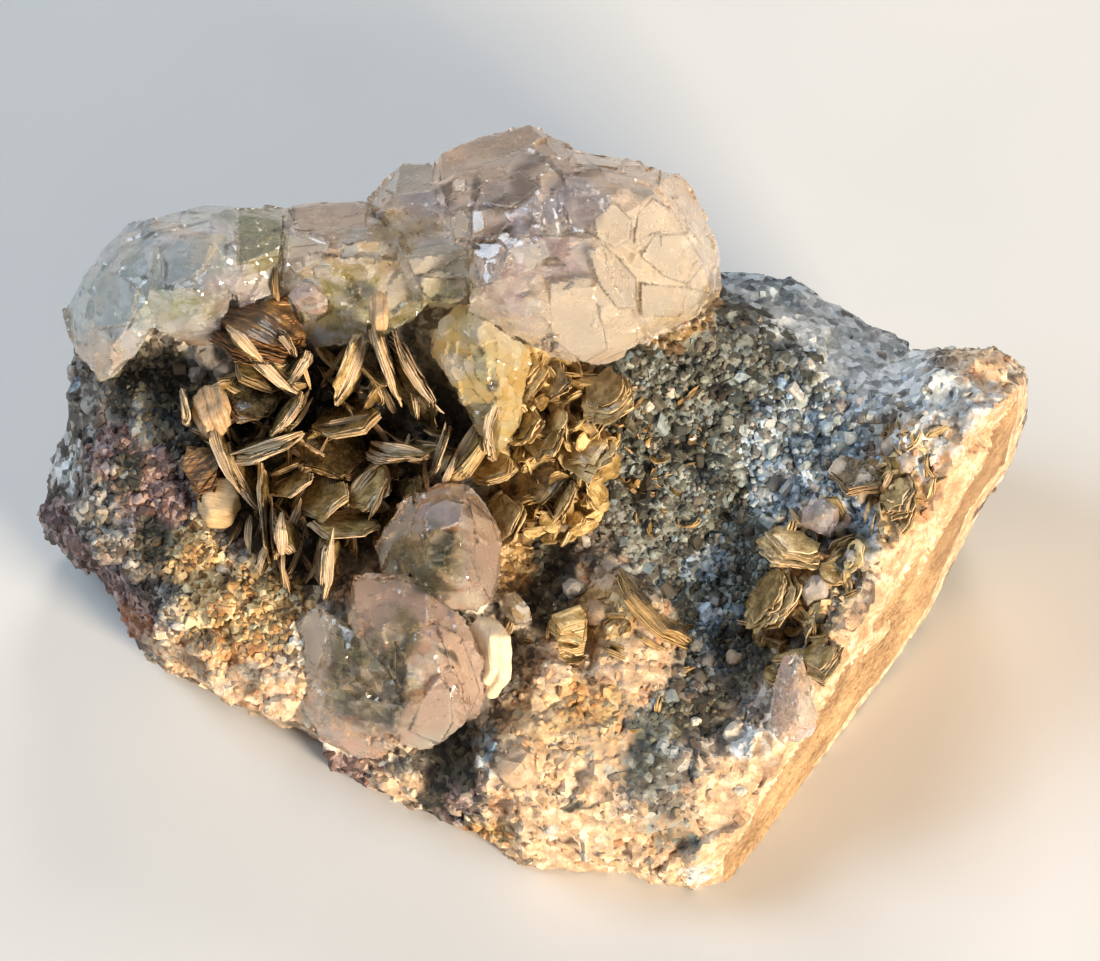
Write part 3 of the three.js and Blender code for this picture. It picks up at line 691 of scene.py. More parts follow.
@dataclass(frozen=True)
class RockFinish:
    """Broken feldspar and quartz, coloured by the minerals that the mesh carries."""

    name: str
    grain: float = 0.9
    lively: float = 0.3
    by_piece: bool = False
    soot: float = 0.7
    stops: tuple[float, float, float] = (0.05, 0.5, 0.95)

    greys: Tones = ((0.050, 0.040, 0.034), (0.17, 0.145, 0.12), (0.46, 0.42, 0.37))
    creams: Tones = ((0.27, 0.175, 0.105), (0.57, 0.395, 0.25), (0.86, 0.73, 0.56))
    crusts: Tones = ((0.030, 0.030, 0.023), (0.088, 0.093, 0.078), (0.29, 0.32, 0.305))
    pearls: Tones = ((0.18, 0.19, 0.19), (0.47, 0.50, 0.51), (0.78, 0.81, 0.83))
    golds: Tones = ((0.09, 0.045, 0.012), (0.48, 0.30, 0.12), (0.86, 0.68, 0.40))
    rusts: Tones = ((0.045, 0.024, 0.020), (0.17, 0.105, 0.100), (0.46, 0.34, 0.32))
    # Dark mica tones, which also serve as painted shade in hollows and under the crystals.
    darks_and_shade: Tones = ((0.005, 0.005, 0.004), (0.032, 0.028, 0.019), (0.17, 0.15, 0.10))
    blues: Tones = ((0.036, 0.050, 0.066), (0.20, 0.250, 0.29), (0.54, 0.63, 0.72))
    # Pale quartz tones under the crystals, bright enough to be partly painted light.
    pale_beds_and_light: Tones = ((0.30, 0.24, 0.17), (0.62, 0.54, 0.44), (0.86, 0.80, 0.70))
    stain: Colour = (0.46, 0.19, 0.065)
    variety: Stops = (
        (0.1, (0.66, 0.82, 1.0)),
        (0.35, (1.0, 1.0, 1.0)),
        (0.7, (1.0, 0.92, 0.74)),
        (0.9, (0.86, 0.62, 0.50)),
    )

    def material(self) -> Material:
        """Builds the material.

        Returns:
            The new material.
        """
        surface = Surface(self.name)
        place = surface.place()
        mottled = surface.noise(place, 2.2, detail=8, rough=0.72)
        fine = surface.noise(place, 0.5, detail=5, rough=0.7)
        cells = surface.cells(place, self.grain)
        chance = surface.node("ShaderNodeSeparateColor", {0: cells.outputs["Color"]}).outputs[0]
        if self.by_piece:
            chance = surface.value("tone")
        ragged = surface.blend(0.35, mottled, chance)
        cream = surface.value(Mineral.CREAM.value)
        lively = surface.fit(cream, 0.3, 0.9, to=(self.lively, self.lively * 0.4))
        shade = surface.fit(surface.blend(lively, mottled, chance), 0.30, 0.70)
        colour = surface.ramp(shade, zip(self.stops, self.greys))
        layers = (
            (Mineral.RUST, self.rusts),
            (Mineral.CREAM, self.creams),
            (Mineral.GOLD, self.golds),
            (Mineral.CRUST, self.crusts),
            (Mineral.PEARL, self.pearls),
            (Mineral.SKY, self.blues),
            # Pale quartz with painted light, under the crystals.
            (Mineral.BED, self.pale_beds_and_light),
            # Painted shade with dark mica: the darkest layer, over hollows and pockets.
            (Mineral.DARK, self.darks_and_shade),
        )
        for mineral, tones in layers:
            where = surface.border(mineral.value, ragged, 0.18)
            colour = surface.blend(where, colour, surface.ramp(shade, zip(self.stops, tones)))
        stained = surface.times(surface.value(Mineral.STAIN.value), fine)
        colour = surface.blend(surface.fit(stained, 0.34, 0.62, to=(0, 0.75)), colour, self.stain)
        soot = surface.fit(surface.noise(place, 0.7, detail=5, rough=0.75), 0.58, 0.70, to=(0, self.soot))
        colour = surface.blend(soot, colour, (0.07, 0.040, 0.018))
        if self.by_piece:
            drawn = surface.math("FRACT", surface.times(chance, 7.3))
            colour = surface.blend(0.8, colour, surface.ramp(drawn, self.variety), "MULTIPLY")
        gloss = surface.fit(chance, 0.6, 1.0, to=(0.70, 0.30))
        relief = surface.bump(cells.outputs["Distance"], 0.10)
        relief = surface.bump(fine, 0.14, relief)
        return surface.finish({"Base Color": colour, "Roughness": gloss, "Normal": relief})


@dataclass(frozen=True)
class CleavedFinish:
    """The smooth side face: feldspar split along one plane, streaked along its length."""

    name: str
    tones: Tones = ((0.17, 0.092, 0.040), (0.40, 0.245, 0.120), (0.59, 0.415, 0.220))
    brown: Colour = (0.14, 0.070, 0.032)
    turn: tuple = (0, 0, 0)

    def material(self) -> Material:
        """Builds the material.

        Returns:
            The new material.
        """
        surface = Surface(self.name)
        streaked = surface.place(self.turn, (9, 0.55, 0.55))
        plain = surface.place()
        streaks = surface.noise(streaked, 1, detail=5, rough=0.6)
        blotches = surface.noise(plain, 5, detail=5, rough=0.6)
        fine = surface.noise(surface.place(self.turn, (3, 0.25, 0.25)), 1, detail=4, rough=0.7)
        mixed = surface.fit(surface.blend(0.4, surface.blend(0.4, streaks, fine), blotches), 0.40, 0.60)
        colour = surface.ramp(mixed, zip((0.0, 0.45, 1.0), self.tones))
        worn = surface.times(surface.value(Mineral.STAIN.value), surface.fit(streaks, 0.35, 0.6))
        colour = surface.blend(surface.times(worn, 0.75), colour, self.brown)
        pits = surface.fit(surface.noise(plain, 0.6, detail=4, rough=0.7), 0.57, 0.70, to=(0, 0.7))
        colour = surface.blend(pits, colour, (0.20, 0.10, 0.04))
        relief = surface.bump(streaks, 0.35)
        relief = surface.bump(fine, 0.12, relief)
        relief = surface.bump(surface.noise(plain, 0.6, detail=5, rough=0.65), 0.16, relief)
        gloss = surface.fit(blotches, 0.3, 0.7, to=(0.5, 0.75))
        return surface.finish({"Base Color": colour, "Roughness": gloss, "Normal": relief})


@dataclass(frozen=True)
class CrystalFinish:
    """Clear fluorite with veils and tinted patches that the mesh carries."""

    name: str
    body: Colour
    transmission: float
    absorption: Colour
    density: float
    roughness: Span = (0.02, 0.36)
    blush: Colour = (0.92, 0.70, 0.54)
    frost: Colour = (0.97, 0.88, 0.74)
    moss: Colour = (0.58, 0.57, 0.36)
    smoke: Colour = (0.16, 0.12, 0.10)
    sky: Colour = (0.70, 0.80, 0.84)
    gold: Colour = (0.84, 0.60, 0.22)
    pearl: Colour = (0.66, 0.62, 0.66)
    sparkle: float = 0.85
    # Tones of the painted glints, from shaded to lit facets.
    painted_glints: Stops = (
        (0.24, (0.10, 0.095, 0.09)),
        (0.42, (0.34, 0.33, 0.32)),
        (0.58, (0.60, 0.59, 0.58)),
        (0.78, (0.97, 0.95, 0.90)),
    )
    play: Stops = (
        (0.1, (0.84, 0.90, 1.0)),
        (0.4, (1.0, 0.98, 0.95)),
        (0.7, (1.0, 0.88, 0.78)),
        (0.9, (0.92, 0.84, 0.92)),
    )

    def material(self) -> Material:
        """Builds the material.

        Returns:
            The new material.
        """
        surface = Surface(self.name)
        place = surface.place()
        cloud = surface.noise(place, 3.0, detail=6, rough=0.62)
        veil = surface.noise(surface.place((0.4, 0.2, 0.9), (2.4, 0.7, 1.1)), 1.6, detail=6, rough=0.62)
        face = surface.value("face")
        dim = surface.tuple_of(self.body, 0.62)
        colour = surface.blend(surface.fit(face, 0.0, 0.55, to=(0.8, 0.0)), self.body, dim)
        for mineral in CRYSTAL_TINTS:
            where = surface.border(mineral.value, cloud, 0.3)
            share = surface.times(where, surface.fit(cloud, 0.3, 0.6, to=(0.65, 0.95)))
            colour = surface.blend(share, colour, getattr(self, mineral.value))
        frosty = surface.math("MAXIMUM", surface.value(Mineral.FROST.value), surface.value(Mineral.BLUSH.value))
        inside, line, painted_highlight, bevel = self.outlines(surface)
        calm = surface.math("SUBTRACT", 1.0, surface.times(inside, 0.93))
        lively = surface.fit(surface.blend(0.3, frosty, cloud), 0.25, 0.75, to=(1.0, 0.12))
        lively = surface.times(lively, calm)
        small, chance, _ = surface.facets(surface.place((0.3, 0.5, 0.1), (1.5, 0.8, 1.0)), 0.95)
        large, other, hue = surface.facets(surface.place((0.9, 0.2, 0.6), (1.0, 1.6, 0.9)), 2.4)
        # Painted glints and shade: each small facet is overlaid lighter or darker in the colour, as much as sparkle
        # says.
        painted_glints = surface.ramp(surface.blend(0.6, chance, other), self.painted_glints)
        colour = surface.blend(surface.times(lively, self.sparkle), colour, painted_glints, "OVERLAY")
        colour = surface.blend(surface.times(lively, 0.7), colour, surface.ramp(hue, self.play), "MULTIPLY")
        threads = surface.times(surface.fit(veil, 0.55, 0.68, to=(0, 0.45)), calm)
        colour = surface.blend(threads, colour, self.frost)
        shadows = surface.times(surface.fit(veil, 0.44, 0.34, to=(0, 0.3)), calm)
        colour = surface.blend(shadows, colour, surface.tuple_of(self.body, 0.4))
        specks = surface.noise(place, 0.8, detail=3, rough=0.6)
        dots = surface.times(surface.fit(specks, 0.68, 0.74, to=(0, 0.6)), calm)
        colour = surface.blend(dots, colour, self.smoke)
        shaded = surface.times(inside, surface.fit(surface.value("plate"), 0, 1, to=(0.30, 0)))
        colour = surface.blend(shaded, colour, surface.tuple_of(self.body, 0.55))
        wander = surface.fit(surface.noise(place, 2.4, detail=2), 0.40, 0.58)
        # Painted shade along the face outlines and a painted highlight just inside them, traded against each other by a
        # slow noise.
        colour = surface.blend(surface.times(line, surface.fit(wander, 0, 1, to=(0.12, 0.75))), colour,
                               self.smoke)
        colour = surface.blend(surface.times(painted_highlight, surface.fit(wander, 0, 1, to=(0.75, 0.1))), colour,
                               (1.0, 0.97, 0.90))
        frosted = surface.blend(0.4, surface.blend(0.4, frosty, face), chance)
        gloss = surface.fit(frosted, 0.2, 0.75, to=self.roughness)
        waves = surface.times(surface.noise(place, 1.1, detail=5, rough=0.6), calm)
        relief = surface.bump(waves, 0.07)
        relief = surface.bump(large, 0.24, relief, lively)
        relief = surface.bump(small, 0.22, relief, lively)
        relief = surface.bump(bevel, 0.12, relief)
        absorption = {"Color": (*self.absorption, 1), "Density": self.density}
        volume = surface.node("ShaderNodeVolumeAbsorption", absorption)
        inputs = {
            "Base Color": colour,
            "Roughness": gloss,
            "Normal": relief,
            "IOR": FLUORITE_IOR,
            "Transmission Weight": self.transmission,
            "Coat Weight": 0.9,
            "Coat Roughness": 0.08,
            "Coat IOR": FLUORITE_IOR,
        }
        return surface.finish(inputs, volume)

    @staticmethod
    def outlines(surface: Surface) -> tuple[Socket, Socket, Socket, Socket]:
        """The crisp borders of the growth faces, from the distances that the mesh carries.

        Args:
            surface: The node tree to add to.

        Returns:
            Where the faces lie, their dark outline, partly painted shade, a painted highlight inside it, and a bevel's
            height.
        """
        rims = [surface.value(name) for name in RIMS]
        inside, line, painted_highlight, bevel = 0.0, 0.0, 0.0, 0.0
        for rim in rims:
            from_line = surface.math("ABSOLUTE", rim)
            from_painted_highlight = surface.math("ABSOLUTE", surface.math("SUBTRACT", rim, 0.16))
            inside = surface.math("MAXIMUM", inside, surface.fit(rim, -0.03, 0.03))
            line = surface.math("MAXIMUM", line, surface.fit(from_line, 0.025, 0.07, to=(1, 0)))
            painted_highlight = surface.math("MAXIMUM", painted_highlight, surface.fit(from_painted_highlight, 0.03, 0.08, to=(1, 0)))
            bevel = surface.math("ADD", bevel, surface.fit(rim, -0.14, 0.14))
        return inside, line, painted_highlight, bevel


@dataclass(frozen=True)
class LeafFinish:
    """The open face of a mica leaf: dark golden brown, glassy, with pearly cleavage steps."""

    name: str
    tones: Tones = ((0.012, 0.007, 0.002), (0.074, 0.050, 0.016), (0.40, 0.28, 0.105))
    golden: Tones = ((0.050, 0.026, 0.008), (0.41, 0.26, 0.088), (0.95, 0.74, 0.38))
    gloss: Span = (0.14, 0.40)

    def material(self) -> Material:
        """Builds the material.

        Returns:
            The new material.
        """
        surface = Surface(self.name)
        place = surface.place()
        tone = surface.value("tone")
        blotches = surface.noise(place, 1.5, detail=7, rough=0.7)
        mixed = surface.fit(surface.blend(0.25, blotches, tone), 0.34, 0.70)
        dark = surface.ramp(mixed, zip(THIRDS, self.tones))
        warm = surface.ramp(mixed, zip(THIRDS, self.golden))
        colour = surface.blend(surface.value("warm"), dark, warm)
        plates = surface.cells(place, 1.3)
        relief = surface.bump(surface.noise(place, 1.6, detail=5, rough=0.6), 0.45)
        relief = surface.bump(plates.outputs["Distance"], 0.05, relief)
        gloss = surface.fit(blotches, 0.3, 0.7, to=self.gloss)
        coat = {"Coat Weight": 0.5, "Coat Roughness": 0.12}
        return surface.finish({"Base Color": colour, "Roughness": gloss, "Normal": relief, **coat})


@dataclass(frozen=True)
class EdgeFinish:
    """The edge of a mica book: cream and tan lines of leaves with thin dark gaps."""

    name: str
    tones: tuple[Colour, ...] = ((0.055, 0.030, 0.014), (0.36, 0.225, 0.115), (0.70, 0.50, 0.32), (0.94, 0.80, 0.60))
    golden: tuple[Colour, ...] = ((0.03, 0.015, 0.003), (0.30, 0.175, 0.055), (0.68, 0.46, 0.19), (0.95, 0.79, 0.48))
    lined: float = 0.7
    depth: float = 0.10
    even: float = 0.4

    def material(self) -> Material:
        """Builds the material.

        Returns:
            The new material.
        """
        surface = Surface(self.name)
        place = surface.place()
        depth = surface.value("depth")
        wander = surface.noise(place, 2.2, detail=3)
        lined = surface.math("ADD", surface.times(depth, 6.5), surface.times(wander, 1.5))
        lines = surface.node("ShaderNodeTexNoise", {"W": lined, "Scale": 1.0, "Detail": 2}, noise_dimensions="1D")
        sharp = surface.fit(lines.outputs["Fac"], 0.30, 0.62)
        tone = surface.value("tone")
        chips = surface.noise(place, 0.5, detail=4, rough=0.7)
        mixed = surface.blend(self.even, surface.blend(1 - self.lined, sharp, surface.fit(chips, 0.3, 0.7)), tone)
        stops = (0.05, 0.38, 0.68, 1.0)
        pale = surface.ramp(mixed, zip(stops, self.tones))
        golden = surface.ramp(mixed, zip(stops, self.golden))
        colour = surface.blend(surface.value("warm"), pale, golden)
        relief = surface.bump(sharp, self.depth)
        relief = surface.bump(chips, 0.06, relief)
        return surface.finish({"Base Color": colour, "Roughness": 0.5, "Normal": relief})


# The rock


def rock_minerals() -> Tints:
    """Where the picture shows each mineral on the rock.

    Returns:
        The patches of each mineral.
    """
    return painted(
        crust=(
            (700, 460, 12, 13), (800, 390, 9, 7, -25), (690, 846, 5.0, 2.6, -15, 0.55),
            (640, 765, 9, 7, -20, 0.40), (720, 610, 5, 8, -15), (640, 400, 6, 5), (850, 335, 9, 5, -28, 0.5),
            (760, 290, 7, 4, -20), (150, 385, 4, 4), (655, 735, 2.4, 4.5, -20), (965, 395, 4, 3, -20, 0.35),
            (922, 450, 3, 4, -30, 0.4),
        ),
        cream=(
            (722, 874, 4, 1.6, 25), (650, 868, 9, 3, 10), (600, 665, 7.5, 8, -30), (640, 640, 4, 4),
            (560, 760, 8, 6.5), (520, 830, 5, 4), (620, 850, 12, 3.2), (745, 800, 6, 8, -35),
            (985, 385, 4.5, 5, -20), (905, 570, 3.6, 14, -32), (930, 440, 3, 3), (250, 685, 10, 4, -28),
            (175, 655, 3, 2), (400, 790, 4, 2, -28), (830, 690, 3, 8, -30), (600, 590, 4, 3),
        ),
        gold=(
            (245, 610, 7, 5), (570, 400, 7, 7), (655, 345, 7, 3, 30), (510, 540, 4, 6), (790, 600, 5, 8, -20),
            (600, 610, 5, 3), (890, 480, 3.5, 6), (190, 550, 3, 3), (595, 700, 4, 3, 0, 0.6),
            (555, 720, 8, 5, 0, 0.4), (480, 840, 3, 2),
        ),
        rust=(
            (115, 600, 9, 2.2, -48), (165, 490, 4, 6, -30), (110, 455, 3, 3), (350, 790, 6, 3, -30),
            (350, 768, 3.6, 2.6, -28), (450, 790, 3, 3.5), (45, 520, 3, 3),
        ),
        stain=(
            (588, 690, 3.4, 2.4, 20), (245, 650, 2.4, 1.6), (500, 800, 2, 3), (560, 400, 4, 4),
            (930, 480, 1.5, 4, -30), (965, 505, 2.2, 6, -30), (1000, 420, 1, 4, -25), (990, 520, 1.2, 10, -33),
            (130, 620, 5, 1.5, -48), (460, 840, 5, 1.5, -20), (565, 825, 4, 2.2, 0, 0.4),
        ),
        sky=(
            (810, 440, 8, 6, -20, 0.8), (720, 640, 3.5, 4), (785, 480, 4, 5, 0, 0.8), (700, 560, 2.5, 2.5),
            (668, 745, 2.2, 3.5, 0, 0.35), (486, 745, 0.8, 3.4), (845, 530, 3, 4), (760, 280, 5, 2.5, -10),
            (66, 376, 1.0, 1), (160, 404, 3.4, 3.2),
        ),
        pearl=(
            (55, 462, 2.2, 5, 8, 0.5), (226, 350, 4.6, 3.2), (955, 398, 5.5, 3.6, -20, 0.62),
            (918, 452, 3.2, 3.6, -30, 0.5), (862, 345, 9, 3.8, -28), (862, 350, 7, 3, -28),
            (800, 310, 5, 2.2, -28), (850, 395, 4, 3, -28), (745, 745, 2.0, 2.0), (700, 875, 2.0, 1.0, 20),
        ),
        # Dark mica, and painted shade: the nest's hollow, the pockets under the crystals and other recesses.
        dark=(
            (140, 362, 4.2, 2.5), (160, 410, 3.6, 3.4, 0, 0.5), (184, 388, 1.6, 3), (116, 392, 1.4, 3),
            (176, 446, 2.6, 1.2), (130, 470, 1.2, 2.5, 20), (335, 440, 16, 11, -10), (550, 580, 2.5, 7, 10),
            (450, 750, 2.8, 4.6), (430, 800, 1.5, 1.5), (745, 655, 2.5, 4), (520, 430, 3, 7), (840, 545, 3, 2),
            (700, 715, 4, 2.2, 20), (150, 540, 2, 3), (622, 422, 2, 1.5), (685, 445, 2, 1),
            (575, 806, 1.6, 0.5), (800, 640, 2, 2), (620, 330, 1, 1), (594, 682, 0.3, 0.9, -20),
        ),
        plain=((800, 305, 14, 5, -27), (865, 348, 9, 4, -28), (62, 450, 3.4, 10, 10), (250, 700, 12, 2.5, -28)),
        grains=(
            (700, 470, 11, 13), (640, 410, 6, 6), (800, 430, 8, 5, -20), (725, 610, 5, 8, -15),
            (150, 390, 4.5, 4.5), (690, 700, 5, 3),
        ),
        gravel=((140, 500, 8, 8, -40), (190, 590, 9, 7, -40), (260, 640, 7, 5, -30)),
    )


@dataclass
class Rock:
    """The block of rock: an even mesh, broken into facets and painted with its minerals.

    Attributes:
        node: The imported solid.
        voxel: Size of a mesh cell.
        flat_base: Height up to which the base stays flat.
        blocks: Its largest facets; chips and crumbs are smaller ones.
        side_corners: Three points of the smooth side face: pixel, and how far out.
        streaked: The way that its streaks run, right and up.
        minerals: Where each mineral lies.
    """

    node: str = "rock"
    voxel: float = 0.52
    flat_base: float = 0.35
    blocks: Facets = Facets(7.0, 0.10, 0.35, 3.1)
    chips: Facets = Facets(2.6, 0.16, 0.16, 7.7)
    crumbs: Facets = Facets(1.1, 0.20, 0.05, 5.2)
    side_corners: tuple = ((1008, 420, -1), (770, 785, 1), (936, 619, -20))
    streaked: Span = (-0.546, -0.838)
    minerals: Tints = field(default_factory=rock_minerals)

    def side_plane(self) -> tuple[Vector, Vector]:
        """A point of the smooth side face and its outward direction.

        Returns:
            The point in metres and the unit vector.
        """
        top, low, foot = (FACE.at(*corner) for corner in self.side_corners)
        outward = (low - top).cross(foot - top).normalized()
        return low, outward if outward.x > 0 else -outward

    def off_side(self, points: Array) -> Array:
        """How far each point lies from the plane of the side face, in millimetres."""
        on_plane, outward = self.side_plane()
        return np.abs((points - np.array(on_plane)) @ np.array(outward)) / MM

    def side_share(self, points: Array, normals: Array) -> Array:
        """Which vertices lie on the smooth side face, from 0 to 1.

        Args:
            points: The vertices in metres.
            normals: Their normals.

        Returns:
            One share for each vertex.
        """
        off = self.off_side(points)
        facing = normals @ np.array(self.side_plane()[1])
        chipped = 0.8 + 9 * swells(points, 7) + 2.5 * swells(points, 2)
        inner = np.clip((-FACE.unrolled(points)[:, 2] - np.clip(chipped, 0.3, 7)) / 1.6, 0, 1)
        hidden = normals @ np.array(OUTWARD) < 0
        turned = np.where(hidden, 0.45, 0.75)
        return np.clip(1.6 - off / 0.5, 0, 1) * np.clip((facing - turned) * 8, 0, 1) * inner

    def build(self) -> Piece:
        """Builds, paints and dresses the rock.

        Returns:
            The finished rock, which grains and blades are set on.
        """
        piece = remeshed(self.node, "rock_body", self.voxel, 1)
        mesh = piece.data
        points, normals = shape_of(mesh)
        side = self.side_share(points, normals)
        layers = self.layers(points, normals, side)
        for mineral, values in layers.items():
            store(mesh, mineral.value, values)
        moved = self.broken(points, normals, side, layers)
        move(mesh, moved)
        self.dress(mesh, side)
        settle(piece, Slot.ROCK, self.node)
        return piece

    def broken(self, points: Array, normals: Array, side: Array, layers: dict[Mineral, Array]) -> Array:
        """The vertices moved out or in to make facets, chips, pits and ridges.

        Args:
            points: The vertices in metres.
            normals: Their normals.
            side: How much each lies on the smooth side face.
            layers: How much each has of every mineral.

        Returns:
            The moved vertices.
        """
        along = FACE.direction(*self.streaked, 0)
        outward = self.side_plane()[1]
        across = along.cross(outward)
        even = layers[Mineral.PLAIN]
        crusty = layers[Mineral.GRAINS]
        off = self.off_side(points)
        worn = np.clip(1 - off / 1.6, 0, 1) * (1 - side)
        pitted = np.maximum(layers[Mineral.CREAM], layers[Mineral.GOLD])
        hidden = np.clip(1 - 3 * (normals @ np.array(OUTWARD)), 0, 1)
        calm = 1 - 0.85 * hidden * np.clip(1.2 - off / 5, 0, 1)
        moved = points.copy()
        for index, row in enumerate(points):
            if row[2] < self.flat_base * MM:
                continue
            point = Vector(row)
            rough = self.chips.height(point) + self.crumbs.height(point)
            rough += 0.25 * noise.noise(point / (1.2 * MM)) - 0.15
            rough = self.blocks.height(point) + rough * (1 - 0.6 * even[index])
            rough += 0.45 * crusty[index] * noise.noise(point / (2.1 * MM) + Vector((9, 2, 5)))
            rough -= 1.3 * worn[index] * (0.4 + noise.noise(point / (3.2 * MM) + Vector((1, 7, 3))))
            pit = max(0.0, noise.noise(point / (1.2 * MM) + Vector((4, 4, 4))) - 0.12)
            rough = (rough - 0.6 * pit * pitted[index]) * calm[index]
            streak = Vector((point.dot(along) / 9, point.dot(across) / 0.9, 3)) / MM
            smooth = 0.20 * noise.noise(streak) + 0.34 * noise.noise(point / (5 * MM)) - 0.25
            smooth -= 0.8 * max(0.0, noise.noise(point / (2.2 * MM)) - 0.2)
            height = rough + (smooth - rough) * side[index]
            moved[index] = row + normals[index] * height * MM
        moved[:, 2] = np.maximum(moved[:, 2], 0)
        return moved

    def layers(self, points: Array, normals: Array, side: Array) -> dict[Mineral, Array]:
        """How much each vertex has of every mineral, and where grains may lie.

        Args:
            points: The vertices in metres.
            normals: Their normals.
            side: How much each lies on the smooth side face.

        Returns:
            One array for each mineral, with values from 0 to 1.
        """
        places = FACE.unrolled(points)
        wobble = swells(points, 3.5, noise.noise_vector) + 0.5 * swells(points, 1.1, noise.noise_vector)
        front = np.clip((places[:, 2] + 30) / 12, 0, 1)
        places = places + wobble * 1.6
        made = {mineral: coverage(shown, places) * front for mineral, shown in self.minerals.items()}
        for mineral in (Mineral.GRAINS, Mineral.GRAVEL, Mineral.GOLD):
            made[mineral] *= 1 - side
        # Pale quartz under the crystals, painted paler as painted light through them.
        made[Mineral.BED] = self.pale_and_lit_under_crystals(points)
        facing = normals @ np.array(OUTWARD)
        above = np.clip(points[:, 2] / MM - 1.5, 0, 1)
        off = self.off_side(points)
        reach = 2.2 + 2.4 * swells(points, 5)
        rim = np.clip(1.4 - off / np.clip(reach, 0.5, 5), 0, 1) * np.clip(facing * 3 + 1.2, 0, 1)
        rim = np.maximum(rim, np.clip(1.5 - off / 1.2, 0, 1) * np.clip(facing * 3 + 1.6, 0.3, 1)) * 0.85
        made[Mineral.CREAM] = np.maximum(made[Mineral.CREAM], rim)
        made[Mineral.STAIN] = np.maximum(made[Mineral.STAIN], rim * (1 - side))
        made[Mineral.PLAIN] = np.maximum(made[Mineral.PLAIN], rim)
        made[Mineral.CRUST] *= 1 - rim
        bare = above * (1 - 0.75 * made[Mineral.PLAIN]) * (1 - made[Mineral.GRAINS]) * np.clip(off - 1.6, 0, 1)
        made[Mineral.OPEN] = np.clip(facing * 3 - 0.2, 0, 1) * bare * (1 - 0.35 * made[Mineral.CREAM])
        made[Mineral.COVER] = np.clip(0.2 - 3 * facing, 0, 1) * bare * np.clip(off / 3 - 1, 0, 1)
        return made

    def pale_and_lit_under_crystals(self, points: Array) -> Array:
        """Which vertices lie close under a fluorite crystal: pale quartz, with painted light from the crystals on it.

        Args:
            points: The vertices in metres.

        Returns:
            One share for each vertex, from 0 to 1.
        """
        shares = np.zeros(len(points))
        for name, node in frame["nodes"].items():
            if not name.startswith("fluorite_"):
                continue
            faces = [tuple(face.vertices) for face in node.data.polygons]
            tree = BVHTree.FromPolygons([vert.co for vert in node.data.vertices], faces)
            for index, row in enumerate(points):
                near = tree.find_nearest(Vector(row), MM)[3]
                if near is not None:
                    shares[index] = max(shares[index], min(1, 2 - near / (0.5 * MM)))
        return shares

    def dress(self, mesh: Mesh, side: Array) -> None:
        """Gives the rock its two finishes, the second on the smooth side face.

        Args:
            mesh: The rock's mesh.
            side: How much each vertex lies on the smooth side face.
        """
        along = FACE.direction(*self.streaked, 0)
        outward = self.side_plane()[1]
        axes = Matrix((along, along.cross(outward), outward))
        mesh.materials.append(RockFinish("rock_surface").material())
        mesh.materials.append(CleavedFinish("cleaved_rock", turn=tuple(axes.to_euler())).material())
        corners = np.empty(len(mesh.loops), int)
        mesh.loops.foreach_get("vertex_index", corners)
        starts = np.empty(len(mesh.polygons), int)
        mesh.polygons.foreach_get("loop_start", starts)
        share = np.add.reduceat(side[corners], starts) / np.diff(np.append(starts, len(corners)))
        mesh.polygons.foreach_set("material_index", (share > 0.5).astype(int))
        shade(mesh, 32)


# Small grains


@dataclass(frozen=True)
class Grain:
    """Makers of single grains, one unit across, that are scattered over the rock.

    Attributes:
        chance: Draws their shapes.
    """

    chance: random.Random

    def block(self) -> Form:
        """A cleavage block with broken corners.

        Returns:
            The grain, centred at the origin.
        """
        form = bmesh.new()
        bmesh.ops.create_cube(form, size=1)
        size = (1.0, self.chance.uniform(0.6, 0.95), self.chance.uniform(0.45, 0.8))
        bmesh.ops.scale(form, vec=size, verts=form.verts)
        for vert in form.verts:
            vert.co += Vector([self.chance.uniform(-0.12, 0.12) for _ in range(3)])
        edges = self.chance.sample(list(form.edges), 5)
        bmesh.ops.bevel(form, geom=edges, offset=0.16, affect="EDGES", segments=1, profile=0.5, material=-1)
        return form

    def point(self) -> Form:
        """A short six-sided crystal with a blunt point.

        Returns:
            The grain, centred at the origin.
        """
        form = bmesh.new()
        height = self.chance.uniform(0.6, 1.1)
        bmesh.ops.create_cone(form, cap_ends=True, segments=6, radius1=0.36, radius2=0.4, depth=height)
        top = max(form.faces, key=lambda face: face.calc_center_median().z)
        bmesh.ops.inset_region(form, faces=[top], thickness=0.22, depth=0.22)
        for vert in form.verts:
            vert.co += Vector([self.chance.uniform(-0.05, 0.05) for _ in range(3)])
        return form

    def crumb(self) -> Form:
        """A rounded crumb with flat facets.

        Returns:
            The grain, centred at the origin.
        """
        form = bmesh.new()
        bmesh.ops.create_icosphere(form, subdivisions=1, radius=0.5)
        for vert in form.verts:
            vert.co *= self.chance.uniform(0.68, 1.15)
        bmesh.ops.scale(form, vec=(1, self.chance.uniform(0.65, 1), self.chance.uniform(0.5, 0.9)), verts=form.verts)
        for face in form.faces:
            face.smooth = self.chance.random() < 0.7
        return form

    def flake(self) -> Form:
        """A small flake of mica standing on its edge.

        Returns:
            The grain, centred at the origin.
        """
        form = bmesh.new()
        bmesh.ops.create_cone(form, cap_ends=True, segments=6, radius1=0.5, radius2=0.47, depth=0.14)
        bmesh.ops.scale(form, vec=(1.2, self.chance.uniform(0.6, 1), 1), verts=form.verts)
        turn = Matrix.Rotation(math.radians(self.chance.uniform(60, 100)), 3, "X")
        bmesh.ops.rotate(form, cent=(0, 0, 0), matrix=turn, verts=form.verts)
        return form


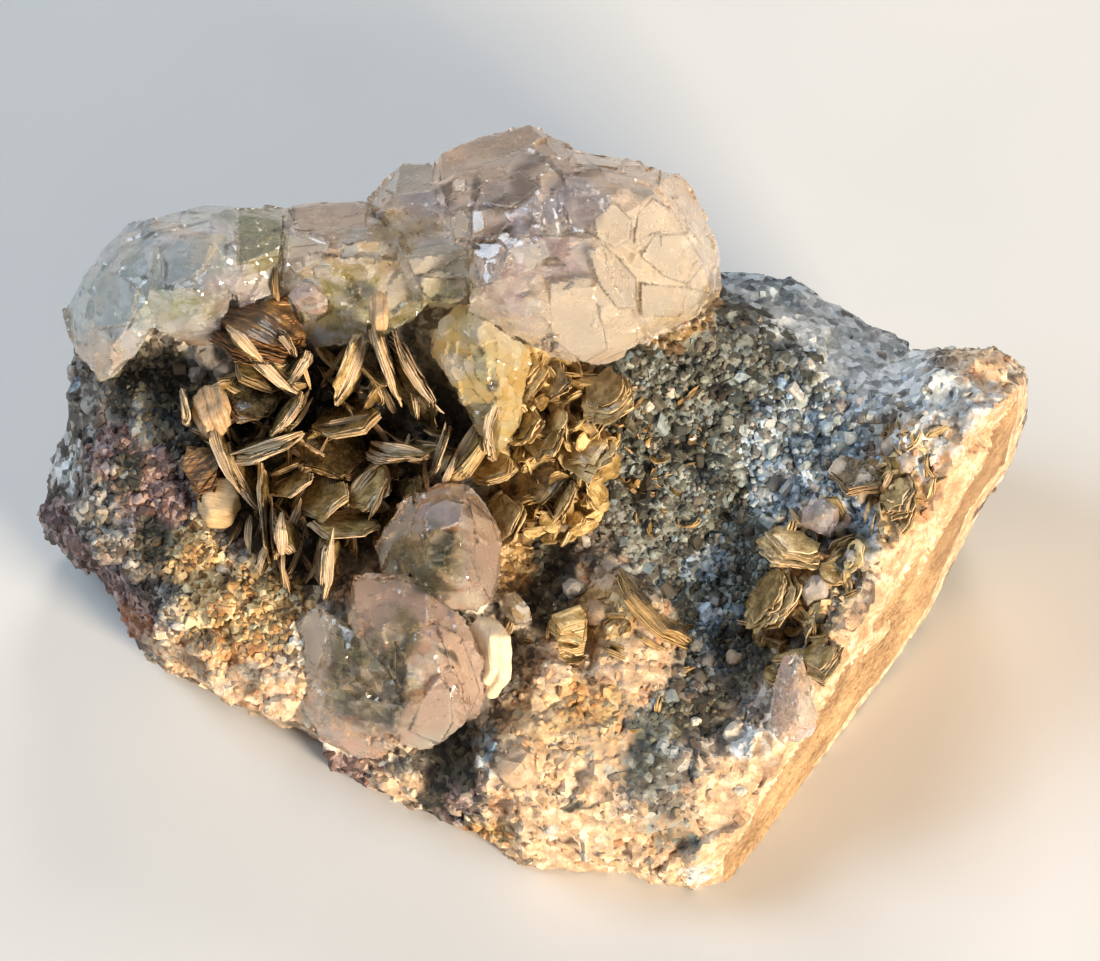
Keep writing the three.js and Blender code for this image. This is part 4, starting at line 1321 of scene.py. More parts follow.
@dataclass
class Scatter:
    """Grains of one kind, scattered over the part of the rock that a mineral covers.

    Attributes:
        name: The piece's name.
        where: The attribute that says how densely they lie.
        makers: The makers of its grains.
        spacing: Least distance between two grains.
        sizes: Smallest and largest size.
        tilt: Most that a grain leans from the surface's normal, in radians.
        sunk: How deep a grain's middle lies.
        finish: Its material.
        seed: Starts its draws.
    """

    name: str
    where: Mineral
    makers: tuple[Callable[[Grain], Form], ...]
    spacing: float
    sizes: Span
    tilt: float
    sunk: float
    finish: RockFinish
    seed: int
    variants: int = 4

    def templates(self) -> bpy.types.Collection:
        """The shapes that the grains repeat.

        Returns:
            A collection of objects, emptied again once the grains are real.
        """
        grain = Grain(random.Random(self.seed))
        kept = bpy.data.collections.new(self.name + "_shapes")
        bpy.context.scene.collection.children.link(kept)
        for index in range(self.variants):
            form = self.makers[index % len(self.makers)](grain)
            shape = new_object(f"{self.name}_shape_{index}", form)
            bpy.context.scene.collection.objects.unlink(shape)
            kept.objects.link(shape)
        return kept

    def tree(self, shapes: bpy.types.Collection) -> bpy.types.NodeTree:
        """The node tree that scatters the shapes and keeps only them.

        Args:
            shapes: The collection of shapes.

        Returns:
            The node tree.
        """
        tree = bpy.data.node_groups.new(self.name, "GeometryNodeTree")
        tree.interface.new_socket("Ground", in_out="INPUT", socket_type="NodeSocketGeometry")
        tree.interface.new_socket("Grains", in_out="OUTPUT", socket_type="NodeSocketGeometry")
        graph = Graph(tree)
        ground = graph.node("NodeGroupInput").outputs[0]
        dense = graph.node("GeometryNodeInputNamedAttribute", {0: self.where.value})
        inputs = {
            "Mesh": ground,
            "Distance Min": self.spacing * MM,
            "Density Max": 3 / (self.spacing * MM) ** 2,
            "Density Factor": dense.outputs["Attribute"],
            "Seed": self.seed,
        }
        spread = graph.node("GeometryNodeDistributePointsOnFaces", inputs, distribute_method="POISSON")
        inward = {0: spread.outputs["Normal"], "Scale": -self.sunk * MM}
        offset = graph.node("ShaderNodeVectorMath", inward, operation="SCALE").outputs[0]
        points = graph.node("GeometryNodeSetPosition", {"Geometry": spread.outputs[0], "Offset": offset})
        lean = {0: (-self.tilt, -self.tilt, -math.pi), 1: (self.tilt, self.tilt, math.pi), 8: self.seed + 1}
        random_turn = graph.node("FunctionNodeRandomValue", lean, data_type="FLOAT_VECTOR").outputs[0]
        turn_inputs = {0: spread.outputs["Rotation"], 1: random_turn}
        turned = graph.node("FunctionNodeRotateRotation", turn_inputs, rotation_space="LOCAL")
        low, high = (size * MM for size in self.sizes)
        size = graph.node("FunctionNodeRandomValue", {2: low, 3: high, 8: self.seed + 2}).outputs[1]
        pick = {4: 0, 5: self.variants - 1, 8: self.seed + 3}
        index = graph.node("FunctionNodeRandomValue", pick, data_type="INT").outputs[2]
        info = {0: shapes, 1: True, 2: True}
        source = graph.node("GeometryNodeCollectionInfo", info).outputs[0]
        placed = {
            "Points": points.outputs[0],
            "Instance": source,
            "Pick Instance": True,
            "Instance Index": index,
            "Rotation": turned.outputs[0],
            "Scale": size,
        }
        grains = graph.node("GeometryNodeInstanceOnPoints", placed)
        tone = graph.node("FunctionNodeRandomValue", {8: self.seed + 4}).outputs[1]
        named = {"Geometry": grains.outputs[0], "Name": "tone", "Value": tone}
        marked = graph.node("GeometryNodeStoreNamedAttribute", named, domain="INSTANCE")
        real = graph.node("GeometryNodeRealizeInstances", {0: marked.outputs[0]})
        graph.node("NodeGroupOutput", {0: real.outputs[0]})
        return tree

    def build(self, ground: Piece) -> Piece:
        """Scatters the grains over the rock and dresses them.

        Args:
            ground: The rock.

        Returns:
            The grains as one piece.
        """
        shapes = self.templates()
        piece = bpy.data.objects.new(self.name, ground.data.copy())
        bpy.context.scene.collection.objects.link(piece)
        modifier = piece.modifiers.new("scatter", "NODES")
        modifier.node_group = self.tree(shapes)
        bake(piece)
        for shape in list(shapes.objects):
            bpy.data.objects.remove(shape)
        bpy.data.collections.remove(shapes)
        mesh = piece.data
        mesh.materials.clear()
        mesh.materials.append(self.finish.material())
        mesh.polygons.foreach_set("material_index", np.zeros(len(mesh.polygons), int))
        points, _ = shape_of(mesh)
        points[:, 2] = np.maximum(points[:, 2], 0)
        move(mesh, points)
        settle(piece, Slot.ROCK)
        return piece


@dataclass(frozen=True)
class NoduleFinish:
    """Pale, half clear quartz and feldspar, from white through pink to blue grey."""

    name: str

    def material(self) -> Material:
        """Builds the material.

        Returns:
            The new material.
        """
        surface = Surface(self.name)
        place = surface.place()
        cloud = surface.noise(place, 1.0, detail=6, rough=0.65)
        hue = surface.value("hue")
        tint = surface.ramp(hue, ((0.0, (0.92, 0.86, 0.76)), (0.5, (0.72, 0.50, 0.32)), (1.0, (0.44, 0.49, 0.52))))
        colour = surface.blend(surface.fit(cloud, 0.35, 0.7, to=(0.6, 0)), tint, (0.24, 0.18, 0.12))
        relief = surface.bump(surface.noise(place, 0.4, detail=5, rough=0.7), 0.10)
        gloss = surface.fit(cloud, 0.3, 0.7, to=(0.2, 0.5))
        inputs = {"Base Color": colour, "Roughness": gloss, "Normal": relief, "Transmission Weight": 0.25}
        return surface.finish(inputs)


@dataclass
class Nodules:
    """Larger single grains, placed as the picture shows them and bedded in the rock.

    Attributes:
        spots: Picture column and row, size, and hue of each, from 0 for white to 1 for blue grey.
        seed: Starts its draws.
    """

    spots: tuple[tuple[float, ...], ...] = (
        (583, 538, 2.0, 0.0), (578, 548, 1.2, 0.0), (551, 828, 1.8, 0.0), (614, 566, 2.6, 0.2),
        (602, 572, 1.8, 0.2), (573, 588, 2.6, 0.9), (780, 517, 1.6, 0.0), (797, 522, 1.8, 0.8),
        (827, 464, 1.3, 0.8), (852, 556, 1.8, 0.9), (890, 448, 2.6, 0.8), (903, 462, 2.2, 0.8),
        (696, 645, 2.4, 0.95), (708, 662, 2.0, 0.9), (735, 658, 2.2, 0.4), (767, 628, 3.0, 0.1),
        (778, 648, 2.0, 0.2), (815, 590, 3.0, 0.8), (832, 575, 1.8, 0.1), (671, 391, 1.8, 0.1),
        (650, 405, 1.2, 0.0), (85, 405, 2.4, 0.9), (66, 374, 1.8, 0.8), (178, 627, 1.6, 0.0),
        (222, 571, 1.5, 0.1), (112, 470, 1.2, 0.8), (122, 476, 1.2, 0.9), (696, 722, 1.4, 0.0),
        (640, 806, 2.0, 0.5), (590, 782, 2.2, 0.5), (520, 768, 5.2, 0.46), (604, 618, 5.0, 0.5),
        (455, 808, 3.0, 0.6), (740, 790, 1.5, 0.0), (735, 732, 2.4, 0.1), (204, 354, 3.2, 0.85),
        (222, 368, 2.8, 0.8), (196, 372, 2.2, 0.9), (238, 352, 2.6, 0.75),
    )
    seed: int = 97

    def lump(self, chance: random.Random, place: Vector, normal: Vector, size: float) -> Form:
        """One grain with flat and rounded faces, half sunk in the rock.

        Args:
            chance: Draws its shape.
            place: Where it sits, in metres.
            normal: The direction out of the rock there.
            size: Its width in millimetres.

        Returns:
            The grain.
        """
        form = bmesh.new()
        bmesh.ops.create_icosphere(form, subdivisions=3, radius=0.5)
        shift = Vector([chance.uniform(0, 50) for _ in range(3)])
        flats = Facets(0.55 / MM, 0.18, 0.06, chance.uniform(0, 9))
        for vert in form.verts:
            rise = flats.height(vert.co + shift) * MM * 1.6 + 0.10 * noise.noise(vert.co * 3 + shift)
            vert.co += vert.co.normalized() * rise
        stretch = Vector((chance.uniform(0.8, 1.2), chance.uniform(0.7, 1), chance.uniform(0.7, 1)))
        bmesh.ops.scale(form, vec=stretch * size * MM, verts=form.verts)
        turn = Matrix.Rotation(chance.uniform(0, math.pi), 3, "Z")
        turn @= Matrix.Rotation(chance.uniform(-0.5, 0.5), 3, "X")
        turn = normal.to_track_quat("Z", "Y").to_matrix() @ turn
        bmesh.ops.rotate(form, cent=(0, 0, 0), matrix=turn, verts=form.verts)
        bmesh.ops.translate(form, vec=place - normal * 0.08 * size * MM, verts=form.verts)
        return form

    def build(self, rock: Piece) -> Piece:
        """Builds all the grains as one piece.

        Args:
            rock: The finished rock.

        Returns:
            The grains as one piece.
        """
        chance = random.Random(self.seed)
        whole = bmesh.new()
        hue = whole.verts.layers.float.new("hue")
        for x, y, size, tint in self.spots:
            hit, place, normal, _ = rock.ray_cast(FACE.at(x, y, RAY_START), -OUTWARD)
            if not hit:
                continue
            for vert in absorb(whole, self.lump(chance, place, normal, size)):
                vert[hue] = tint
        piece = new_object("pale_nodules", whole)
        piece.data.materials.append(NoduleFinish("pale_nodule").material())
        shade(piece.data, 25)
        settle(piece, Slot.ROCK)
        return piece


# Fluorite


@dataclass(frozen=True)
class Plate:
    """A flat growth face of a crystal, outlined by picture pixels.

    Attributes:
        corners: Picture column and row of its corners, in order.
        step: How far it stands out.
        tint: The tint that fills it, if any.
        seam: Width of the line round it.
        slope: Its rise to the right and up, in millimetres for each millimetre.
    """

    corners: tuple[float, ...]
    step: float = 0.15
    tint: Mineral | None = None
    seam: float = 0.15
    slope: Span = (0, 0)

    def depth(self, places: Array) -> Array:
        """How far inside its outline each place lies, negative outside.

        Args:
            places: Places on the display face (right, up, out).

        Returns:
            One distance in millimetres for each place.
        """
        corners = np.array([FACE.flat(x, y) for x, y in zip(self.corners[::2], self.corners[1::2])])
        nearest = np.full(len(places), np.inf)
        within = np.zeros(len(places), bool)
        for start, end in zip(corners, np.roll(corners, -1, axis=0)):
            edge = end - start
            arm = places[:, :2] - start
            share = np.clip(arm @ edge / (edge @ edge), 0, 1)
            nearest = np.minimum(nearest, np.linalg.norm(arm - share[:, None] * edge, axis=1))
            if abs(edge[1]) > 1e-9:
                spans = (start[1] > places[:, 1]) != (end[1] > places[:, 1])
                crossing = start[0] + (places[:, 1] - start[1]) * edge[0] / edge[1]
                within ^= spans & (places[:, 0] < crossing)
        return np.where(within, nearest, -nearest)

    def press(self, places: Array, facing: Array, tints: dict) -> Array:
        """Flattens the surface inside the outline.

        Args:
            places: Places on the display face, changed here.
            facing: How squarely each vertex faces the viewer.
            tints: The arrays of tints, changed here.

        Returns:
            How far inside the outline each vertex lies, in widths of its line.
        """
        depth = np.where(facing > -0.1, self.depth(places), -9)
        rows = np.nonzero(depth > 0)[0]
        if len(rows) < 8:
            return depth
        if self.tint is not None:
            tints[self.tint][rows] = 1
        middle = places[rows, :2].mean(axis=0)
        table = np.column_stack([places[rows, :2] - middle, np.ones(len(rows))])
        slope_right, slope_up, level = np.linalg.lstsq(table, places[rows, 2], rcond=None)[0]
        tilt = np.array([slope_right + self.slope[0], slope_up + self.slope[1]])
        flat = (places[rows, :2] - middle) @ tilt + level + self.step
        places[rows, 2] += np.clip(flat - places[rows, 2], -0.9, 0.9) * np.clip(3 * facing[rows], 0, 1)
        places[:, 2] -= np.clip(1 - np.abs(depth) / 0.3, 0, 1) * self.seam * 0.3
        return depth * 0.11 / max(self.seam, 0.05)


@dataclass
class Crystal:
    """A group of fluorite crystals: an even mesh cut into flat faces, painted with its tints."""

    node: str
    name: str
    slot: Slot
    finish: CrystalFinish
    voxel: float = 0.31
    smoothing: int = 1
    cleavages: tuple[Cleavage, ...] = (Cleavage(6, 0.07, 0.1, 0.8, 3), Cleavage(2.6, 0.05, 0.06, 0.3, 4))
    tints: Tints = field(default_factory=dict)
    plates: tuple[Plate, ...] = ()

    def build(self) -> Piece:
        """Builds, paints and dresses the crystal group.

        Returns:
            The finished crystal group.
        """
        piece = remeshed(self.node, self.name, self.voxel, self.smoothing)
        mesh = piece.data
        points, normals = shape_of(mesh)
        wobble = swells(points, 4, noise.noise_vector)
        places = FACE.unrolled(points)
        tints = {kind: coverage(self.tints.get(kind, ()), places + wobble * 1.5) for kind in CRYSTAL_TINTS}
        tones = np.zeros(len(points))
        for cleavage in self.cleavages:
            points, drawn = cleavage.cut(points, normals)
            tones = np.maximum(tones, drawn) if cleavage is self.cleavages[0] else tones * 0.6 + drawn * 0.4
        soft = np.array([self.swell(Vector(row)) for row in points])
        points = points + normals * soft[:, None] * MM
        places = FACE.unrolled(points)
        out = places[:, 2].copy()
        facing = normals @ np.array(OUTWARD)
        rims = [np.full(len(points), -1.0) for _ in RIMS]
        shades = np.full(len(points), 0.5)
        chance = random.Random(19)
        for plate in self.plates:
            depth = plate.press(places, facing, tints)
            near = depth > -0.6
            rim = next((rim for rim in rims if rim[near].max(initial=-1) < -0.5), rims[-1])
            np.maximum(rim, depth, out=rim)
            shades[depth > 0] = chance.random()
        points = points + np.outer(places[:, 2] - out, OUTWARD) * MM
        for kind, values in tints.items():
            store(mesh, kind.value, values)
        for name, rim in zip(RIMS, rims):
            store(mesh, name, np.clip(rim, -1, 1))
        store(mesh, "plate", shades)
        store(mesh, "face", tones)
        move(mesh, points)
        mesh.materials.append(self.finish.material())
        shade(mesh, 22)
        settle(piece, self.slot, self.node)
        return piece

    @staticmethod
    def swell(point: Vector) -> float:
        """Soft swells of the surface at a point, in millimetres."""
        return 0.10 * noise.noise(point / (6 * MM)) + 0.05 * noise.noise(point / (1.6 * MM))


# Mica


class MicaKind(Enum):
    """The colours that a book of mica may have."""

    PLAIN = "mica"
    RUSSET = "russet_mica"


@dataclass(frozen=True)
class BookLook:
    """How one book of mica differs from the rest.

    Attributes:
        tone: From 0 for dark leaves to 1 for bright ones.
        warm: From 0 for cream and pinkish edges to 1 for golden brown ones.
        fan: How far its leaves spread apart, in degrees from first to last.
        curl: How far its ends bend up, in millimetres, negative for down.
        loose: From 0 for leaves in line to 1 for ragged ones.
        taper: How much shorter the outer leaves are.
        kind: Its colours.
        stacked: The direction on the display face through its leaves, found from the solid if none.
        graded: How much brighter its last leaf is than its first.
        rounded: Whether it is a smooth cap with fine lines instead of open leaves.
        ridged: How deep the lines of a cap are, and how dark their painted shade is, from 0 to 1.
        pinch: How much thinner it is at its ends.
        full: How far a cap is swollen, in millimetres.
        smoothing: How often a cap's mesh is smoothed.
    """

    tone: float = 0.5
    warm: float = 0.2
    fan: float = 2
    curl: float = 0.2
    loose: float = 0.35
    taper: float = 0.10
    kind: MicaKind = MicaKind.PLAIN
    stacked: tuple[float, float, float] | None = None
    graded: float = 0
    rounded: bool = False
    ridged: float = 0
    pinch: float = 0.4
    full: float = 0.25
    smoothing: int = 30


@dataclass
class MicaBook:
    """One book of mica: a stack of thin leaves that keeps the room of its plain solid.

    Attributes:
        name: The piece's name.
        look: How it differs from the rest.
        seed: Starts its draws.
        pitch: From one leaf to the next.
        fill: Share of the pitch that a leaf takes up.
        fewest: Fewest leaves.
    """

    name: str
    look: BookLook
    seed: int
    pitch: float = 0.21
    fill: float = 0.96
    fewest: int = 3

    @staticmethod
    def split_axis(form: Form) -> Vector:
        """The direction through the leaves: the normal that most of the surface shares.

        Args:
            form: The book's closed block.

        Returns:
            A unit vector.
        """
        areas: dict[tuple, float] = {}
        for face in form.faces:
            normal = face.normal if face.normal.dot(Vector((0.31, 0.57, 0.76))) > 0 else -face.normal
            key = tuple(round(value, 2) for value in normal)
            areas[key] = areas.get(key, 0) + face.calc_area()
        return Vector(max(areas, key=lambda key: areas[key])).normalized()

    @staticmethod
    def cut(form: Form, point: Vector, normal: Vector, clear: bool = False) -> None:
        """Cuts a form along a plane, and clears what lies beyond it if asked.

        Args:
            form: The form, changed here.
            point: A point of the plane.
            normal: Its direction.
            clear: Whether the part that the direction points to goes.
        """
        parts = form.verts[:] + form.edges[:] + form.faces[:]
        bmesh.ops.bisect_plane(form, geom=parts, plane_co=point, plane_no=normal, clear_outer=clear)

    @staticmethod
    def slab(form: Form, axis: Vector, low: float, high: float) -> Form:
        """The part of a form between two heights along an axis, with its cuts closed.

        Args:
            form: The closed form, which is kept.
            axis: The unit vector along which heights are measured.
            low: The lower height in metres.
            high: The upper height in metres.

        Returns:
            The new closed part, empty if nothing lies between.
        """
        part = form.copy()
        for height, direction in ((low, -axis), (high, axis)):
            MicaBook.cut(part, axis * height, direction, True)
            rim = [edge for edge in part.edges if edge.is_boundary]
            bmesh.ops.holes_fill(part, edges=rim, sides=0)
        return part

    def leaves(self, block: Form) -> Form:
        """Splits a block into its leaves.

        Args:
            block: The closed block, which is freed.

        Returns:
            One form with all the leaves, its vertices carrying depth and tone.
        """
        chance = random.Random(self.seed)
        axis = FACE.direction(*self.look.stacked) if self.look.stacked else self.split_axis(block)
        heights = [vert.co.dot(axis) for vert in block.verts]
        low, high = min(heights), max(heights)
        centre = sum((vert.co for vert in block.verts), Vector()) / len(block.verts)
        longest = max((vert.co - centre for vert in block.verts), key=lambda arm: arm.length)
        along = (longest - axis * longest.dot(axis)).normalized()
        count = max(self.fewest, round((high - low) / (self.pitch * MM)))
        pitch = (high - low) / count
        book = bmesh.new()
        depth = book.verts.layers.float.new("depth")
        tone = book.verts.layers.float.new("tone")
        warm = book.verts.layers.float.new("warm")
        for index in range(count):
            start = low + pitch * index
            thick = pitch * min(0.985, self.fill * chance.uniform(0.85, 1.1))
            part = self.slab(block, axis, start, start + thick)
            if not part.faces:
                part.free()
                continue
            order = index / max(1, count - 1) - 0.5
            self.roughen(part, axis, along, centre, order, chance)
            bright = self.look.tone + self.look.graded * order + chance.uniform(-0.35, 0.25)
            bright = min(1, max(0, bright))
            for vert in absorb(book, part):
                vert[depth] = vert.co.dot(axis) / MM
                vert[tone] = bright
                vert[warm] = self.look.warm
        block.free()
        for face in book.faces:
            face.material_index = 0 if abs(face.normal.dot(axis)) > 0.75 else 1
        return book

    def roughen(
        self, part: Form, axis: Vector, along: Vector, centre: Vector, order: float,
        chance: random.Random,
    ) -> None:
        """Gives one leaf a ragged rim, its own size and turn, and a slight curl.

        Args:
            part: The leaf, changed here.
            axis: The direction through the leaves.
            along: The direction of its length.
            centre: The middle of the book.
            order: The leaf's place in the book, from -0.5 to 0.5.
            chance: Draws its unevenness.
        """
        across = axis.cross(along)
        for direction, shares in ((along, (-0.5, 0, 0.5)), (across, (0,))):
            spans = [(vert.co - centre).dot(direction) for vert in part.verts]
            half = (max(spans) - min(spans)) / 2
            middle = (max(spans) + min(spans)) / 2
            for share in shares:
                self.cut(part, centre + direction * (middle + half * share), direction)
        bmesh.ops.subdivide_edges(part, edges=part.edges, cuts=1, use_grid_fill=True)
        spans = [(vert.co - centre).dot(along) for vert in part.verts]
        half = max(1e-6, (max(spans) - min(spans)) / 2)
        look = self.look
        size = (1 - look.taper * (2 * order) ** 2) * (1.02 - look.loose * chance.uniform(0, 0.22))
        turn = Matrix.Rotation(math.radians(10 * look.loose * chance.uniform(-1, 1)), 3, axis)
        fan = Matrix.Rotation(math.radians(order * look.fan), 3, across)
        bend = (1 + look.loose * chance.uniform(-0.8, 0.8)) * look.curl * MM
        shift = 0.4 * look.loose * chance.uniform(-1, 1) * MM
        coarse, fine = 0.10 + 0.16 * look.loose, 0.05 + 0.06 * look.loose
        for vert in part.verts:
            arm = vert.co - centre
            rise = axis * arm.dot(axis)
            flat = arm - rise
            ragged = 1 + coarse * noise.noise(vert.co / (1.9 * MM)) + fine * noise.noise(vert.co / (0.6 * MM))
            flat = turn @ (flat * size * ragged)
            share = max(-1.2, min(1.2, flat.dot(along) / half))
            thin = 1 - look.pinch * share * share
            spot = Vector((flat.dot(along), flat.dot(across), self.seed * 7.3 * MM))
            wave = (0.06 + 0.38 * look.loose) * MM * noise.noise(spot / (2.4 * MM))
            vert.co = centre + fan @ flat + rise * thin + along * shift + axis * (bend * share * share + wave)

    def cap(self, node: str) -> Piece:
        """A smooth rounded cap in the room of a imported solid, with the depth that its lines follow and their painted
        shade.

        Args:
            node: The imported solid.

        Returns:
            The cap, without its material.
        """
        look = self.look
        axis = FACE.direction(*look.stacked)
        piece = remeshed(node, self.name, 0.20, look.smoothing)
        mesh = piece.data
        points, normals = shape_of(mesh)
        depth = points @ np.array(axis) / MM
        swell = swells(points, 1.4)
        lines = np.array([noise.noise(Vector((value / 0.38, 0, self.seed))) for value in depth + 0.25 * swell])
        heights = look.full + (0.04 + 0.40 * look.ridged) * lines + (0.12 + 0.2 * look.ridged) * swell
        move(mesh, points + normals * heights[:, None] * MM)
        store(mesh, "depth", depth)
        # Painted shade: the tone is darker in the grooves between the cap's lines.
        shaded_hollows = np.clip(lines, -1, 0) * look.ridged
        store(mesh, "tone", np.clip(look.tone + 0.9 * shaded_hollows, 0, 1))
        store(mesh, "warm", np.full(len(points), look.warm))
        return piece

    def build(self, node: str, finishes: tuple[Material, ...]) -> Piece:
        """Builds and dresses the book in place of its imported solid.

        Args:
            node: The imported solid.
            finishes: The materials of its leaves, of its edges and of a smooth cap.

        Returns:
            The finished book.
        """
        if not self.look.rounded:
            return leafy_piece(self.name, self.leaves(merged_copy(node)), finishes, node)
        piece = self.cap(node)
        piece.data.materials.append(finishes[2])
        shade(piece.data, 60)
        settle(piece, Slot.MICA, node)
        return piece


def leafy_piece(name: str, form: Form, finishes: tuple[Material, ...], *nodes: str) -> Piece:
    """A finished piece of mica leaves.

    Args:
        name: The piece's name.
        form: Its leaves, which are freed.
        finishes: The materials of leaves and of edges, and others that it leaves out.
        nodes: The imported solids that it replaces.

    Returns:
        The piece.
    """
    piece = new_object(name, form)
    for finish in finishes[:2]:
        piece.data.materials.append(finish)
    shade(piece.data, 30)
    settle(piece, Slot.MICA, *nodes)
    return piece


def spindle(chance: random.Random, length: float, thick: float, broad: float) -> Form:
    """A plain blade along x, thick along y and broad along z, thinner and narrower at its ends.

    Args:
        chance: Draws its unevenness.
        length: Its length in metres.
        thick: Its thickness at the middle in metres.
        broad: Its breadth in metres.

    Returns:
        The blade, centred at the origin.
    """
    form = bmesh.new()
    bmesh.ops.create_cube(form, size=1)
    long_edges = [edge for edge in form.edges if abs((edge.verts[0].co - edge.verts[1].co).x) > 0.5]
    bmesh.ops.subdivide_edges(form, edges=long_edges, cuts=4)
    for vert in form.verts:
        slim = (1 - (2 * abs(vert.co.x)) ** 3) * 0.75 + 0.25
        vert.co.z *= slim * chance.uniform(0.85, 1.1)
        vert.co.y *= 0.45 + 0.55 * slim
    bmesh.ops.scale(form, vec=(length, thick, broad), verts=form.verts)
    return form


def stand(form: Form, along: Vector, opened: float, middle: Vector) -> None:
    """Turns a blade edge on to the display face and moves it to its place.

    Args:
        form: The blade, changed here.
        along: The direction of its length.
        opened: Its turn from edge on towards face on, in radians.
        middle: Where its middle goes.
    """
    side = along.cross(OUTWARD).normalized()
    normal = Matrix.Rotation(opened, 3, along) @ side
    basis = Matrix((along, normal, along.cross(normal))).transposed()
    bmesh.ops.rotate(form, cent=(0, 0, 0), matrix=basis, verts=form.verts)
    bmesh.ops.translate(form, vec=middle, verts=form.verts)
    bmesh.ops.recalc_face_normals(form, faces=form.faces)


@dataclass(frozen=True)
class Blade:
    """One blade of mica that the picture shows edge on."""

    ends: tuple[float, float, float, float]
    thick: float
    tone: float = 0.75
    warm: float = 0.15
    curl: float = 0.2
    fan: float = 2


@dataclass
class ShownBlades:
    """The blades that can be told apart in the picture, standing between the books.

    Attributes:
        rows: The picture column and row of both ends, and then what a blade has, one row a blade.
        broad: Their breadth, into the rock.
        over: How far their upper edge stands above what lies below.
        highest: The most that it stands out of the face.
        seed: Starts their draws.
    """

    rows: tuple[tuple[float, ...], ...] = (
        (227, 328, 262, 366, 1.3, 0.75, 0.25, 0.3), (246, 348, 294, 395, 1.2, 0.80, 0.1, 0.4),
        (280, 330, 298, 358, 0.6, 0.7, 0.1), (310, 352, 290, 384, 1.2, 0.85, 0.1),
        (366, 330, 338, 404, 1.5, 0.85, 0.1, 0.3, 4), (371, 326, 398, 402, 0.9, 0.85, 0.2),
        (378, 330, 393, 372, 0.7, 0.6, 0.5), (388, 336, 436, 418, 1.0, 0.85, 0.1, 0.9),
        (303, 394, 272, 437, 1.0, 0.85, 0.1), (318, 426, 378, 414, 0.9, 0.65, 0.3),
        (233, 458, 304, 436, 1.1, 0.80, 0.2, 0.4), (211, 424, 240, 494, 1.2, 0.75, 0.1, 0.2, 3),
        (226, 442, 256, 510, 1.2, 0.9, 0.1, 0.3, 3), (370, 443, 438, 458, 1.4, 0.95, 0.0, 0.1, 3),
        (448, 422, 429, 479, 0.8, 0.8, 0.1), (482, 420, 446, 482, 1.5, 0.85, 0.35, 0.3, 4),
        (498, 394, 488, 452, 1.2, 0.85, 0.1, 0.7), (257, 478, 264, 566, 0.8, 0.65, 0.2),
        (269, 500, 272, 560, 0.6, 0.6, 0.2), (282, 512, 283, 554, 1.5, 0.9, 0.1, 0.0, 4),
        (332, 528, 324, 598, 1.1, 0.8, 0.1), (378, 462, 344, 508, 1.2, 0.75, 0.4, -0.4),
        (318, 517, 384, 506, 0.7, 0.6, 0.3), (390, 478, 370, 520, 0.7, 0.5, 0.5),
        (182, 390, 187, 424, 0.7, 0.9, 0.1), (272, 262, 276, 300, 1.1, 0.4, 0.6),
        (300, 440, 330, 460, 0.7, 0.7, 0.2), (346, 404, 352, 430, 0.5, 0.9, 0.0),
        (225, 548, 240, 520, 0.9, 0.8, 0.3), (380, 380, 396, 416, 0.9, 0.8, 0.3),
        (410, 378, 416, 420, 0.8, 0.7, 0.2), (462, 452, 444, 492, 0.8, 0.7, 0.3),
        (512, 602, 504, 640, 1.0, 0.6, 0.5, 0.3),
    )
    broad: float = 4.0
    over: float = 0.9
    highest: float = 6.5
    seed: int = 131

    def build(self, finishes: tuple[Material, ...]) -> Piece:
        """Builds the blades as one piece, each resting in what lies below it.

        Args:
            finishes: The materials of leaves and of edges.

        Returns:
            The blades as one piece.
        """
        chance = random.Random(self.seed)
        whole = bmesh.new()
        scene, graph = bpy.context.scene, bpy.context.evaluated_depsgraph_get()
        for index, row in enumerate(self.rows):
            blade = Blade(row[:4], *row[4:])
            x, y = (blade.ends[0] + blade.ends[2]) / 2, (blade.ends[1] + blade.ends[3]) / 2
            hit, ground, *_ = scene.ray_cast(graph, FACE.at(x, y, RAY_START), -OUTWARD)
            if not hit:
                continue
            out = min(FACE.unrolled(np.array([ground]))[0, 2] + self.over, self.highest)
            arm = FACE.at(*blade.ends[2:]) - FACE.at(*blade.ends[:2])
            form = spindle(chance, arm.length, blade.thick * MM, self.broad * MM)
            along = (arm.normalized() + OUTWARD * chance.uniform(-0.12, 0.12)).normalized()
            stand(form, along, math.radians(chance.uniform(-14, 14)), FACE.at(x, y, out - self.broad / 2))
            look = BookLook(blade.tone, blade.warm, blade.fan, blade.curl, 0.25, pinch=0.6)
            absorb(whole, MicaBook("blade", look, self.seed * 100 + index, fewest=2).leaves(form))
        return leafy_piece("shown_blades", whole, finishes)


